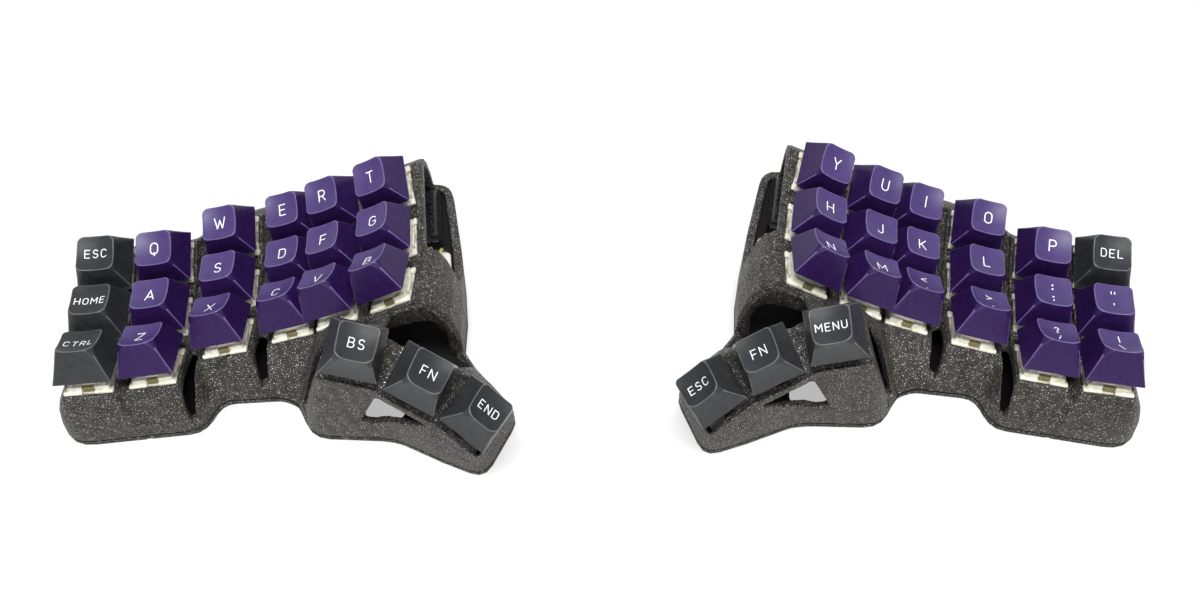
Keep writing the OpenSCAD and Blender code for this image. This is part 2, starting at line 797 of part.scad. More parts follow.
module threaded_inserts() {
    color([0.78, 0.6, 0.25])
        for (side = SIDES)
            at_half(side)
                for (p = BOSSES)
                    translate([p.x, p.y, case_lift + 0.1])
                        difference() {
                            cylinder(h = insert_l, r = insert_r);
                            translate([0, 0, -1])
                                cylinder(h = insert_l + 2, r = screw_r + 0.05);
                        }
}

module rubber_feet() {
    color([0.1, 0.1, 0.1])
        for (side = SIDES)
            at_half(side)
                for (p = FEET)
                    translate([p.x, p.y, 0])
                        cylinder(h = foot_t - eps, r = foot_r);
}

// Electronics

module controller_tray() {
    rib = 1;
    left = board_x - board_w / 2 - rib - 0.3;
    right = jack_x + jack_body / 2 + rib + 0.3;
    front = board_rear - board_l - 0.4;
    translate([left, front, base_top + eps])
        cube([right - left, board_l, tray_t]);
    for (x = [left, board_x + board_w / 2 + 0.3, jack_x - jack_body / 2 - 0.3 - rib, right - rib])
        translate([x, front, base_top + 0.5])
            cube([rib, board_l, board_lift + board_t]);
    for (x = [left + 0.5, board_x + board_w / 2 - 2])
        translate([x, front + 2, base_top + 0.5])
            cube([2.8, board_l - 4, board_lift - 0.5 - eps]);
}

module controller_trays() {
    color([0.2, 0.2, 0.19])
        for (side = SIDES)
            at_half(side)
                controller_tray();
}

module controller_board(side) {
    front = board_rear - board_l;
    color([0.08, 0.08, 0.09])
        at_half(side) {
            translate([board_x - board_w / 2, front, board_z])
                cube([board_w, board_l, board_t]);
            translate([board_x - 3.5, front + 7, board_z + board_t - eps])
                cube([7, 7, 1]);
            for (sx = [-1, 1])
                translate([board_x + sx * (board_w / 2 - 1.3) - 1.2, front + 1, board_z + board_t - eps])
                    cube([2.4, board_l - 4, 2.5]);
            for (sx = [-1, 1])
                for (i = [0 : 7])
                    translate([board_x + sx * (board_w / 2 - 1.3) - 0.3, front + 2.2 + 2.4 * i, board_z + 1])
                        cube([0.6, 0.6, 9]);
        }
}

// Small board under a switch, with holes for the switch's peg and pins
module switch_board() {
    top = -body_h - eps;
    difference() {
        translate([-switch_board_w / 2, -switch_board_w / 2, top - switch_board_t])
            cube([switch_board_w, switch_board_w, switch_board_t]);
        translate([0, 0, top - switch_board_t - 1])
            cylinder(h = switch_board_t + 2, r = peg_r + 0.1);
        for (p = PINS)
            translate([p.x, p.y, top - switch_board_t - 1])
                cylinder(h = switch_board_t + 2, r = pin_r + 0.1);
    }
}

module switch_boards() {
    color([0.1, 0.1, 0.1])
        for (side = SIDES)
            at_half(side)
                for (k = KEYS)
                    at_key(k)
                        switch_board();
}

module cable_sockets() {
    color([0.72, 0.72, 0.74])
        for (side = SIDES)
            at_half(side)
                translate([board_x, rear_y + 0.2, usb_z + 0.05])
                    rotate([90, 0, 0])
                        difference() {
                            socket_shell(usb_w, usb_h, usb_l);
                            translate([0, 0, -1])
                                socket_shell(usb_w - 0.8, usb_h - 0.8, usb_l);
                        }
}

// A bar with round ends, as wide and high as given
module socket_shell(w, h, l) {
    for (sx = [-1, 1])
        translate([sx * (w - h) / 2, 0, 0])
            cylinder(h = l, r = h / 2);
    translate([-(w - h) / 2, -h / 2, 0])
        cube([w - h, h, l]);
}

module link_jack() {
    translate([jack_x, rear_y + 0.4, jack_z])
        rotate([90, 0, 0])
            difference() {
                union() {
                    cylinder(h = jack_barrel_l + eps, r = jack_barrel_r);
                    translate([-jack_body / 2, -jack_body / 2, jack_barrel_l])
                        cube([jack_body, jack_body, jack_body_l]);
                }
                translate([0, 0, -1])
                    cylinder(h = jack_barrel_l + jack_body_l - 1, r = jack_r);
            }
}

module link_jacks() {
    color([0.12, 0.12, 0.13])
        for (side = SIDES)
            at_half(side)
                link_jack();
}

// A wire bowed over between two points: half a ring on straight legs
module wire_bow(from, span, turn, low) {
    translate([from.x, from.y, low])
        rotate([90, 0, turn])
            rotate_extrude(angle = 180, $fn = 64)
                translate([span / 2, 0])
                    circle(d = wire_d, $fn = 24);
}

WIRES = [[-60.6, 9.6, 10, 96], [-57.6, 10, 11, 84], [-54.2, 9.4, 9, 98], [-50.6, 9.8, 10, 86]];

module jumper_wires() {
    color([0.75, 0.78, 0.3])
        for (side = SIDES)
            at_half(side)
                for (w = WIRES)
                    wire_bow([w[0], w[1]], w[2], w[3], base_top + 0.15);
}

for (side = SIDES) {
    for (k = KEYS)
        keycap_node(side, k);
    case_node(side);
    base_plate(side);
    switch_hoods(side);
    switch_bodies(side);
    controller_board(side);
}
switch_boards();
controller_trays();
cable_sockets();
link_jacks();
base_screws();
threaded_inserts();
rubber_feet();
jumper_wires();
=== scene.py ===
"""Looks of a split keyboard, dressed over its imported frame.

Sizes are in millimetres, in a key's or a half's own frame, until a mesh is placed. Objects are in metres.
"""
import logging
import math
from dataclasses import dataclass, field
from enum import Enum
from typing import Dict, List, Optional, Sequence, Tuple

import bmesh
import bpy
import numpy as np
from mathutils import Euler, Matrix, Vector


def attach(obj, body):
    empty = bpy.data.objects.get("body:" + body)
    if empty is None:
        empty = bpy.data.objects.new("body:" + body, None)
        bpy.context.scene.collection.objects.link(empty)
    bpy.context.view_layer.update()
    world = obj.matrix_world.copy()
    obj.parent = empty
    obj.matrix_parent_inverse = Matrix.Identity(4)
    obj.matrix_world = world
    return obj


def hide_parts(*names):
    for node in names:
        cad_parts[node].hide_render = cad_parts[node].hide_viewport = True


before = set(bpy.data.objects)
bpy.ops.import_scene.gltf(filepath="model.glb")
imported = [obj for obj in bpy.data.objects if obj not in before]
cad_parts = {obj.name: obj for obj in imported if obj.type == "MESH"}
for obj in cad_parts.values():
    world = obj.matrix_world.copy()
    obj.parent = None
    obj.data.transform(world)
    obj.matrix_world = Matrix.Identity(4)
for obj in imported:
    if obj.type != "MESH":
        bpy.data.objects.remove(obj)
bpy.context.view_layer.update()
LOG = logging.getLogger("split_keyboard")
MM = 0.001
FRAME_BODY = "frame"

Triple = Tuple[float, float, float]
Colour = Triple
Point = Tuple[float, float]
Stroke = List[Point]
# Points and the faces between them
Mesh = Tuple[np.ndarray, list]
Socket = bpy.types.NodeSocket


class Side(Enum):
    """The two halves."""

    LEFT = "left"
    RIGHT = "right"


class CapColour(Enum):
    """Plastic of a keycap, named by the record's slot."""

    PURPLE = "purple_keycap"
    CHARCOAL = "charcoal_keycap"


COLUMNS = ("inner", "index", "middle", "ring", "pinky", "outer")
ROWS = ("top", "home", "bottom")
THUMBS = ("palm", "middle", "tip")
THUMB = len(COLUMNS)


# Places


def turn(axis: str, degrees: float) -> Matrix:
    """Turn about one axis, as a 4 by 4 matrix."""
    return Matrix.Rotation(math.radians(degrees), 4, axis)


@dataclass(frozen=True)
class HalfPlace:
    """Where a half stands on the table."""

    side: Side
    x: float
    y: float
    angle: float

    def matrix(self) -> Matrix:
        """Matrix from the half's own millimetres to the shared frame's metres, without the mirror."""
        return Matrix.Scale(MM, 4) @ Matrix.Translation((self.x, self.y, 0)) @ turn("Z", self.angle)

    def sign(self) -> int:
        """Minus one where x is mirrored."""
        return -1 if self.side is Side.LEFT else 1

    def point(self, x: float, y: float, z: float) -> Vector:
        """A point of the right half's drawing, in this half and in metres."""
        return self.matrix() @ Vector((self.sign() * x, y, z))


HALVES = (HalfPlace(Side.LEFT, -119.9, 9.3, 5.3), HalfPlace(Side.RIGHT, 119.4, 6.3, -11.7))


@dataclass(frozen=True)
class KeyLayout:
    """Double curve of the keywell and the stepped thumb keys, drawn for the right half."""

    row_angle: float = 13.5
    column_angle: float = 5.4
    row_radius: float = 92.5
    column_radius: float = 215.5
    centre_row: float = 0.9
    centre_column: float = 2.5
    tent: float = 11.4
    bowl_height: float = 16.7
    stagger: Tuple[float, ...] = (2, 1.8, 3.8, -1.2, -12.6, -15.3)
    lift: Tuple[float, ...] = (-2.2, -2.3, -5.6, 0.6, 6.7, 10.4)
    shift: Tuple[float, ...] = (-0.6, 0.4, -0.8, 0.8, 1.2, -0.5)
    thumb_at: Tuple[Triple, ...] = ((-36.6, -51.2, 44.8), (-54.8, -58, 35.2), (-70.2, -66.6, 24.2))
    thumb_turn: Tuple[Triple, ...] = ((15.5, -19.3, 10.5), (7.5, -28, 25.5), (0, -33, 36.5))

    def matrix(self, column: int, row: int) -> Matrix:
        """Place of a key in the right half.

        Args:
            column: Column from the inside out, or THUMB.
            row: Row from the rear, or thumb key from the palm.

        Returns:
            Matrix from the key's own frame to the half's.
        """
        if column == THUMB:
            x, y, z = (math.radians(a) for a in self.thumb_turn[row])
            return Matrix.Translation(self.thumb_at[row]) @ Euler((x, y, z), "XYZ").to_matrix().to_4x4()
        offset = (self.shift[column], self.stagger[column], self.column_radius + self.lift[column])
        return (
            Matrix.Translation((0, 0, self.bowl_height))
            @ turn("Y", self.tent)
            @ Matrix.Translation(offset)
            @ turn("Y", self.column_angle * (self.centre_column - column))
            @ Matrix.Translation((0, 0, self.row_radius - self.column_radius))
            @ turn("X", self.row_angle * (self.centre_row - row))
            @ Matrix.Translation((0, 0, -self.row_radius))
        )


LAYOUT = KeyLayout()


@dataclass(frozen=True)
class KeyPlace:
    """One key of one half."""

    half: HalfPlace
    column: int
    row: int

    def name(self) -> str:
        """Name that the key's node, body and pieces start with.

        Returns:
            The half, the column and the row, joined.
        """
        thumb = self.column == THUMB
        word = f"thumb_{THUMBS[self.row]}" if thumb else f"{COLUMNS[self.column]}_{ROWS[self.row]}"
        return f"{self.half.side.value}_{word}"

    def matrix(self) -> Matrix:
        """Place of the key; a mirrored key keeps its handedness.

        Returns:
            Matrix from the key's own millimetres to metres.
        """
        local = LAYOUT.matrix(self.column, self.row)
        if self.half.side is Side.LEFT:
            flip = Matrix.Scale(-1, 4, (1, 0, 0))
            local = flip @ local @ flip
        return self.half.matrix() @ local

    def colour(self) -> CapColour:
        """Charcoal for the thumbs, the left outer column and the right outer top key."""
        outer = self.column == len(COLUMNS) - 1 and (self.half.side is Side.LEFT or self.row == 0)
        return CapColour.CHARCOAL if outer or self.column == THUMB else CapColour.PURPLE


KEYS = [KeyPlace(half, column, row)
        for half in HALVES for column in range(THUMB + 1) for row in range(len(ROWS))]


# Finishes


class Graph:
    """Short way to build a material's nodes. Patterns are scaled per millimetre."""

    def __init__(self, name: str) -> None:
        """Start a material with a Principled shader.

        Args:
            name: Name of the material.
        """
        self.material = bpy.data.materials.new(name)
        self.material.use_nodes = True
        self.tree = self.material.node_tree
        self.shader = self.tree.nodes["Principled BSDF"]

    def node(self, kind: str, **settings: object) -> bpy.types.Node:
        """Add a node.

        Args:
            kind: Type of the node.
            settings: Properties, or values of the sockets named in capitals and lower case with underscores.

        Returns:
            The node.
        """
        made = self.tree.nodes.new(kind)
        for key, value in settings.items():
            if hasattr(made, key):
                setattr(made, key, value)
            else:
                made.inputs[key.replace("_", " ")].default_value = value
        return made

    def link(self, source: Socket, target: Socket) -> None:
        """Join two sockets."""
        self.tree.links.new(source, target)

    def millimetres(self, scale: Triple = (1, 1, 1)) -> Socket:
        """Object coordinates in millimetres.

        Args:
            scale: Stretch of the pattern along each axis.

        Returns:
            The coordinates.
        """
        where = self.node("ShaderNodeTexCoord")
        mapping = self.node("ShaderNodeMapping")
        mapping.inputs["Scale"].default_value = tuple(s / MM for s in scale)
        self.link(where.outputs["Object"], mapping.inputs["Vector"])
        return mapping.outputs["Vector"]

    def noise(self, where: Socket, scale: float, detail: float = 2.0) -> Socket:
        """Smooth noise.

        Args:
            where: Coordinates.
            scale: Waves per millimetre.
            detail: Finer octaves.

        Returns:
            The noise's value.
        """
        made = self.node("ShaderNodeTexNoise", Scale=scale, Detail=detail)
        self.link(where, made.inputs["Vector"])
        return made.outputs["Fac"]

    def cells(self, where: Socket, scale: float) -> bpy.types.Node:
        """Voronoi cells.

        Args:
            where: Coordinates.
            scale: Cells per millimetre.

        Returns:
            The node.
        """
        made = self.node("ShaderNodeTexVoronoi", Scale=scale)
        self.link(where, made.inputs["Vector"])
        return made

    def maths(self, how: str, a: Socket, b: object) -> Socket:
        """Arithmetic on two values.

        Args:
            how: Name of the operation.
            a: First value.
            b: Second value, a number or a socket.

        Returns:
            The result.
        """
        made = self.node("ShaderNodeMath", operation=how)
        self.link(a, made.inputs[0])
        if isinstance(b, (int, float)):
            made.inputs[1].default_value = b
        else:
            self.link(b, made.inputs[1])
        return made.outputs[0]

    def span(self, value: Socket, low: float, high: float, a: float, b: float) -> Socket:
        """Map a value's span to another, held at the ends.

        Args:
            value: The value.
            low: Lower end of its span.
            high: Upper end of its span.
            a: Result at the lower end.
            b: Result at the upper end.

        Returns:
            The mapped value.
        """
        made = self.node("ShaderNodeMapRange")
        for index, number in enumerate((low, high, a, b), start=1):
            made.inputs[index].default_value = number
        self.link(value, made.inputs[0])
        return made.outputs[0]

    def blend(self, share: Socket, a: object, b: object) -> Socket:
        """Mix two colours.

        Args:
            share: Share of the second.
            a: First colour or socket.
            b: Second colour or socket.

        Returns:
            The mixed colour.
        """
        made = self.node("ShaderNodeMix", data_type="RGBA")
        self.link(share, made.inputs["Factor"])
        for index, value in ((6, a), (7, b)):
            if isinstance(value, tuple):
                made.inputs[index].default_value = (*value, 1)
            else:
                self.link(value, made.inputs[index])
        return made.outputs[2]

    def bump(self, height: Socket, strength: float, depth: float) -> None:
        """Raise the shader's surface.

        Args:
            height: Pattern of the relief.
            strength: Its strength.
            depth: Its depth in millimetres.
        """
        made = self.node("ShaderNodeBump", Strength=strength, Distance=depth * MM)
        self.link(height, made.inputs["Height"])
        self.link(made.outputs["Normal"], self.shader.inputs["Normal"])

    def set(self, **values: object) -> None:
        """Set the shader's own sockets, named with underscores for spaces."""
        for key, value in values.items():
            self.shader.inputs[key.replace("_", " ")].default_value = value


@dataclass(frozen=True)
class Filament:
    """Printed plastic with metallic flecks and faint layers.

    Each kind of fleck has its cells per millimetre, its rarity and its size in its cell. Above the ceiling
    the print takes a near black colour without flecks: painted shade for a face inside a case.
    """

    name: str = "glitter_filament"
    dark: Colour = (0.022, 0.020, 0.018)
    light: Colour = (0.046, 0.043, 0.038)
    silver: Colour = (0.92, 0.95, 1.0)
    gold: Colour = (0.86, 0.78, 0.64)
    layer: float = 0.3
    rough: float = 0.5
    flecks: Tuple[Triple, ...] = ((1.45, 0.45, 0.23), (2.5, 0.35, 0.28))
    # Above the ceiling: a near black colour, painted shade for faces inside a case
    ceiling: float = 100.0
    inside: Colour = (0.004, 0.004, 0.004)
    fading: float = 2.0
    fleck_rough: float = 0.25
    fleck_metal: float = 0.4
    layer_wobble: float = 0.6
    grain_share: float = 0.8
    relief: Point = (0.35, 0.05)
    gloss: float = 0.15

    def make(self) -> bpy.types.Material:
        """Build the material.

        Returns:
            The material.
        """
        g = Graph(self.name)
        where = g.millimetres()
        height = g.node("ShaderNodeSeparateXYZ")
        g.link(where, height.inputs[0])
        # Under the ceiling the print shows its own colour and flecks; above it, painted shade
        unshaded_below_ceiling = g.maths("LESS_THAN", height.outputs["Z"], self.ceiling)
        base = g.blend(g.span(g.noise(where, 0.35, 4), 0.35, 0.65, 0, 1), self.dark, self.light)
        base = g.blend(unshaded_below_ceiling, self.inside, base)
        shares = []
        for scale, rare, size in self.flecks:
            cell = g.cells(where, scale)
            pick = g.node("ShaderNodeSeparateColor")
            g.link(cell.outputs["Color"], pick.inputs["Color"])
            dot = g.maths("LESS_THAN", cell.outputs["Distance"], size)
            chosen = g.maths("GREATER_THAN", pick.outputs["Red"], rare)
            strength = g.maths("MULTIPLY", g.maths("POWER", pick.outputs["Green"], self.fading), unshaded_below_ceiling)
            shares.append(g.maths("MULTIPLY", g.maths("MULTIPLY", dot, chosen), strength))
            tint = pick.outputs["Blue"]
        share = g.maths("MAXIMUM", shares[0], shares[1])
        fleck = g.blend(tint, self.silver, self.gold)
        g.link(g.blend(share, base, fleck), g.shader.inputs["Base Color"])
        g.link(g.span(share, 0, 1, self.rough, self.fleck_rough), g.shader.inputs["Roughness"])
        g.link(g.maths("MULTIPLY", share, self.fleck_metal), g.shader.inputs["Metallic"])
        wave = g.node("ShaderNodeTexWave", bands_direction="Z", Distortion=self.layer_wobble)
        # A wave of scale one is pi / 10 long
        wave.inputs["Scale"].default_value = math.pi / 10 / self.layer
        g.link(where, wave.inputs["Vector"])
        grain = g.maths("MULTIPLY", g.noise(where, 3, 3), self.grain_share)
        g.bump(g.maths("ADD", grain, wave.outputs["Fac"]), *self.relief)
        g.set(Specular_IOR_Level=self.gloss)
        return g.material


@dataclass(frozen=True)
class CapPlastic:
    """Moulded keycap plastic with a fine pebbled grain."""

    name: str
    deep: Colour
    pale: Colour
    rough: float = 0.3
    grain: float = 0.15
    gloss: float = 0.2
    pebbles: float = 3.2
    depth: float = 0.05
    rough_span: Point = (-0.06, 0.08)

    def make(self) -> bpy.types.Material:
        """Build the material.

        Returns:
            The material.
        """
        g = Graph(self.name)
        where = g.millimetres()
        tone = g.span(g.noise(where, 0.4, 3), 0.3, 0.7, 0, 1)
        g.link(g.blend(tone, self.deep, self.pale), g.shader.inputs["Base Color"])
        pebble = g.noise(where, self.pebbles, 3)
        smooth, coarse = (self.rough + change for change in self.rough_span)
        g.link(g.span(pebble, 0.3, 0.7, smooth, coarse), g.shader.inputs["Roughness"])
        g.bump(pebble, self.grain, self.depth)
        g.set(Specular_IOR_Level=self.gloss)
        return g.material


@dataclass(frozen=True)
class MilkyPlastic:
    """Cream, slightly cloudy housing plastic."""

    name: str = "milky_plastic"
    cloudy: Colour = (0.93, 0.92, 0.84)
    clear: Colour = (0.70, 0.67, 0.50)
    rough: Point = (0.28, 0.42)
    relief: Point = (0.2, 0.04)

    def make(self) -> bpy.types.Material:
        """Build the material.

        Returns:
            The material.
        """
        g = Graph(self.name)
        where = g.millimetres()
        share = g.span(g.noise(where, 0.5, 3), 0.35, 0.7, 0, 1)
        g.link(g.blend(share, self.cloudy, self.clear), g.shader.inputs["Base Color"])
        g.link(g.span(g.noise(where, 2.0), 0.3, 0.7, *self.rough), g.shader.inputs["Roughness"])
        g.bump(g.noise(where, 1.2), *self.relief)
        return g.material


@dataclass(frozen=True)
class Speckled:
    """Plain stuff whose tone, gloss and surface vary finely, such as ink, rubber, lacquer or metal."""

    name: str
    a: Colour
    b: Colour
    scale: float
    rough: Tuple[float, float]
    metal: float = 0.0
    stretch: Triple = (1, 1, 1)
    depth: float = 0.02

    def make(self) -> bpy.types.Material:
        """Build the material.

        Returns:
            The material.
        """
        g = Graph(self.name)
        value = g.noise(g.millimetres(self.stretch), self.scale, 3)
        g.link(g.blend(g.span(value, 0.35, 0.65, 0, 1), self.a, self.b), g.shader.inputs["Base Color"])
        g.link(g.span(value, 0.3, 0.7, *self.rough), g.shader.inputs["Roughness"])
        g.bump(value, 0.2, self.depth)
        g.set(Metallic=self.metal)
        return g.material


PURPLE = CapPlastic("purple_caps", (0.019, 0.006, 0.055), (0.026, 0.010, 0.072))
# Rims and corner ridges are painted paler than the flanks: a painted highlight along the cap's edges
PURPLE_RIM_HIGHLIGHT = CapPlastic("purple_rim_highlights", (0.12, 0.09, 0.23), (0.15, 0.11, 0.27), rough=0.18)
# Purple tops are painted about twice as light as the flanks: a painted sheen of the light from above
PURPLE_LIT_TOP = CapPlastic("purple_lit_tops", (0.035, 0.018, 0.104), (0.048, 0.027, 0.130), 0.42, 0.5, 0.42)
CHARCOAL = CapPlastic("charcoal_caps", (0.025, 0.027, 0.029), (0.036, 0.039, 0.042))
# Painted highlight on the charcoal caps' rims and ridges, as on the purple ones
CHARCOAL_RIM_HIGHLIGHT = CapPlastic("charcoal_rim_highlights", (0.09, 0.095, 0.1), (0.12, 0.125, 0.13), rough=0.18)
# Charcoal tops are painted darker than their flanks: painted shade against the sheen of the light from above
CHARCOAL_SHADED_TOP = CapPlastic("charcoal_shaded_tops", (0.014, 0.016, 0.018), (0.022, 0.025, 0.028), 0.42, 0.5, 0.22)
# Finishes in zone order: flanks in the plastic's own colour, rims and ridges with a painted highlight, tops
# with painted sheen or shade
CAP_FINISHES = {
    CapColour.PURPLE: (PURPLE, PURPLE_RIM_HIGHLIGHT, PURPLE_LIT_TOP),
    CapColour.CHARCOAL: (CHARCOAL, CHARCOAL_RIM_HIGHLIGHT, CHARCOAL_SHADED_TOP),
}
# The base plate's top face, above 2.78 mm, is painted near black as the shade inside the case
SHADED_BASE_PRINT = Filament("base_filament_with_painted_shade", rough=0.7, ceiling=2.78)
# Near black with few flecks, darker than the case's filament: dark printed trays, with painted shade for the
# inside of the case
DARK_SHADED_PRINT = Filament("dark_filament_with_painted_shade", (0.006, 0.006, 0.006), (0.012, 0.012, 0.011), rough=0.9,
                      flecks=((1.2, 0.9, 0.15), (2.1, 0.9, 0.2)))
INK = Speckled("white_legends", (0.86, 0.86, 0.88), (0.78, 0.78, 0.82), 3.0, (0.4, 0.55))
LACQUER = Speckled("board_lacquer", (0.010, 0.011, 0.013), (0.022, 0.024, 0.026), 0.8, (0.25, 0.4))
STEEL = Speckled("plain_steel", (0.56, 0.56, 0.57), (0.46, 0.46, 0.47), 1.5, (0.25, 0.42), 1.0, (1, 6, 1))
BRASS = Speckled("turned_brass", (0.72, 0.52, 0.22), (0.60, 0.42, 0.16), 1.5, (0.25, 0.4), 1.0, (1, 1, 6))
RUBBER = Speckled("foot_rubber", (0.018, 0.018, 0.018), (0.030, 0.030, 0.030), 1.6, (0.7, 0.85))
BLACK = Speckled("black_moulding", (0.014, 0.014, 0.015), (0.024, 0.024, 0.026), 1.2, (0.35, 0.5))
LEAF = Speckled("contact_leaf", (0.20, 0.17, 0.07), (0.30, 0.26, 0.12), 1.4, (0.35, 0.5))
WIRE = Speckled("wire_jacket", (0.60, 0.62, 0.14), (0.46, 0.50, 0.10), 0.9, (0.35, 0.5))


class Palette:
    """Materials made once each, by finish."""

    def __init__(self) -> None:
        """Start empty."""
        self.made: Dict[str, bpy.types.Material] = {}

    def of(self, finish: object) -> bpy.types.Material:
        """Material of a finish, made at its first use.

        Args:
            finish: The finish.

        Returns:
            Its material.
        """
        if finish.name not in self.made:
            self.made[finish.name] = finish.make()
        return self.made[finish.name]


PALETTE = Palette()


# Meshes


def piece(name: str, points: np.ndarray, faces: Sequence[Sequence[int]],
          smooth: bool = True) -> bpy.types.Object:
    """Make a mesh object at the origin.

    Args:
        name: Name of the piece.
        points: Its points in metres.
        faces: Its faces, counterclockwise from outside.
        smooth: Whether its faces are shaded smooth.

    Returns:
        The object.
    """
    mesh = bpy.data.meshes.new(name)
    mesh.from_pydata([tuple(p) for p in points], [], [tuple(f) for f in faces])
    mesh.validate()
    for polygon in mesh.polygons:
        polygon.use_smooth = smooth
    made = bpy.data.objects.new(name, mesh)
    bpy.context.scene.collection.objects.link(made)
    return made


def placed(points: np.ndarray, matrix: Matrix) -> np.ndarray:
    """Points turned and moved by a matrix."""
    m = np.array(matrix)
    return points @ m[:3, :3].T + m[:3, 3]


def loft(rings: Sequence[np.ndarray], start: Optional[Vector], end: Optional[Vector]) -> Mesh:
    """Skin closed rings of equal length in order, with a pole at each end.

    Args:
        rings: Rings of points.
        start: Pole before the first ring, or none.
        end: Pole after the last ring, or none.

    Returns:
        Points and faces.
    """
    count = len(rings[0])
    points = list(np.concatenate(rings))
    faces = []
    for level in range(len(rings) - 1):
        low, high = level * count, (level + 1) * count
        faces += [(low + i, low + (i + 1) % count, high + (i + 1) % count, high + i) for i in range(count)]
    if start is not None:
        points.append(np.array(start))
        faces += [((i + 1) % count, i, len(points) - 1) for i in range(count)]
    if end is not None:
        points.append(np.array(end))
        last = (len(rings) - 1) * count
        faces += [(last + i, last + (i + 1) % count, len(points) - 1) for i in range(count)]
    return np.array(points), faces


def joined(parts: Sequence[Mesh]) -> Mesh:
    """Several meshes as one.

    Args:
        parts: The meshes.

    Returns:
        Points and faces.
    """
    points, faces, base = [], [], 0
    for more, polygons in parts:
        points.append(more)
        faces += [tuple(i + base for i in f) for f in polygons]
        base += len(more)
    return np.concatenate(points), faces


def softened_box(low: Sequence[float], high: Sequence[float], edge: float) -> Mesh:
    """A box with rounded edges.

    Args:
        low: Lowest corner.
        high: Highest corner.
        edge: Width of the rounding.

    Returns:
        Points and faces.
    """
    made = bmesh.new()
    bmesh.ops.create_cube(made, size=1)
    for vertex in made.verts:
        vertex.co = [l + (c + 0.5) * (h - l) for l, h, c in zip(low, high, vertex.co)]
    bmesh.ops.bevel(made, geom=made.edges[:], offset=edge, segments=2, profile=0.5, affect="EDGES")
    return harvested(made)


def harvested(made: bmesh.types.BMesh) -> Mesh:
    """Take the shape out of a working mesh and free it.

    Args:
        made: The working mesh.

    Returns:
        Points and faces.
    """
    made.verts.ensure_lookup_table()
    made.verts.index_update()
    points = np.array([v.co[:] for v in made.verts])
    faces = [tuple(v.index for v in f.verts) for f in made.faces]
    made.free()
    return points, faces


def lathe(profile: Sequence[Point], count: int) -> Mesh:
    """Turn a profile round z, closed by poles at both ends.

    Args:
        profile: Radius and height of each ring.
        count: Points on a ring.

    Returns:
        Points and faces.
    """
    angles = [2 * math.pi * i / count for i in range(count)]
    rings = [np.array([(r * math.cos(a), r * math.sin(a), z) for a in angles]) for r, z in profile]
    return loft(rings, Vector((0, 0, profile[0][1])), Vector((0, 0, profile[-1][1])))


def finish_piece(made: bpy.types.Object, body: str, slot: str, *nodes: str) -> None:
    """Let a piece ride on its body and stand for its nodes.

    Args:
        made: The piece.
        body: Body that it moves with.
        slot: The record's material slot; not used.
        nodes: Nodes that it stands for.
    """
    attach(made, body)
    if nodes:
        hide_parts(*nodes)
    LOG.info("%s on %s, %d faces", made.name, body, len(made.data.polygons))


# Repeated pieces


# Angles in degrees under which edges are shaded smooth
SHARP_SPREAD = 35
SHARP_WIRE = 40
SHARP_CAP = 50


def new_tree(name: str, inputs: Dict[str, str]) -> bpy.types.NodeTree:
    """Start a tree of geometry nodes.

    Args:
        name: Name of the tree.
        inputs: Socket types by name, beside the geometry itself.

    Returns:
        The tree, with its sockets.
    """
    tree = bpy.data.node_groups.new(name, "GeometryNodeTree")
    sockets = tree.interface
    sockets.new_socket("Geometry", in_out="INPUT", socket_type="NodeSocketGeometry")
    for label, kind in inputs.items():
        sockets.new_socket(label, in_out="INPUT", socket_type=kind)
    sockets.new_socket("Geometry", in_out="OUTPUT", socket_type="NodeSocketGeometry")
    return tree


def spread_tree(name: str) -> bpy.types.NodeTree:
    """Geometry nodes that set a template on every point, turned by the point's own attribute.

    Args:
        name: Name of the tree.

    Returns:
        The tree.
    """
    tree = new_tree(name, {"Template": "NodeSocketObject", "Size": "NodeSocketFloat",
                           "Finish": "NodeSocketMaterial"})
    add = tree.nodes.new
    source, target = add("NodeGroupInput"), add("NodeGroupOutput")
    info, spread = add("GeometryNodeObjectInfo"), add("GeometryNodeInstanceOnPoints")
    named, angle = add("GeometryNodeInputNamedAttribute"), add("FunctionNodeEulerToRotation")
    real, coat = add("GeometryNodeRealizeInstances"), add("GeometryNodeSetMaterial")
    named.data_type = "FLOAT_VECTOR"
    named.inputs["Name"].default_value = "turn"
    for a, b in (
        (source.outputs["Geometry"], spread.inputs["Points"]),
        (source.outputs["Template"], info.inputs["Object"]),
        (info.outputs["Geometry"], spread.inputs["Instance"]),
        (named.outputs["Attribute"], angle.inputs["Euler"]),
        (angle.outputs["Rotation"], spread.inputs["Rotation"]),
        (source.outputs["Size"], spread.inputs["Scale"]),
        (spread.outputs["Instances"], real.inputs["Geometry"]),
        (real.outputs["Geometry"], coat.inputs["Geometry"]),
        (source.outputs["Finish"], coat.inputs["Material"]),
        (coat.outputs["Geometry"], target.inputs["Geometry"]),
    ):
        tree.links.new(a, b)
    return tree


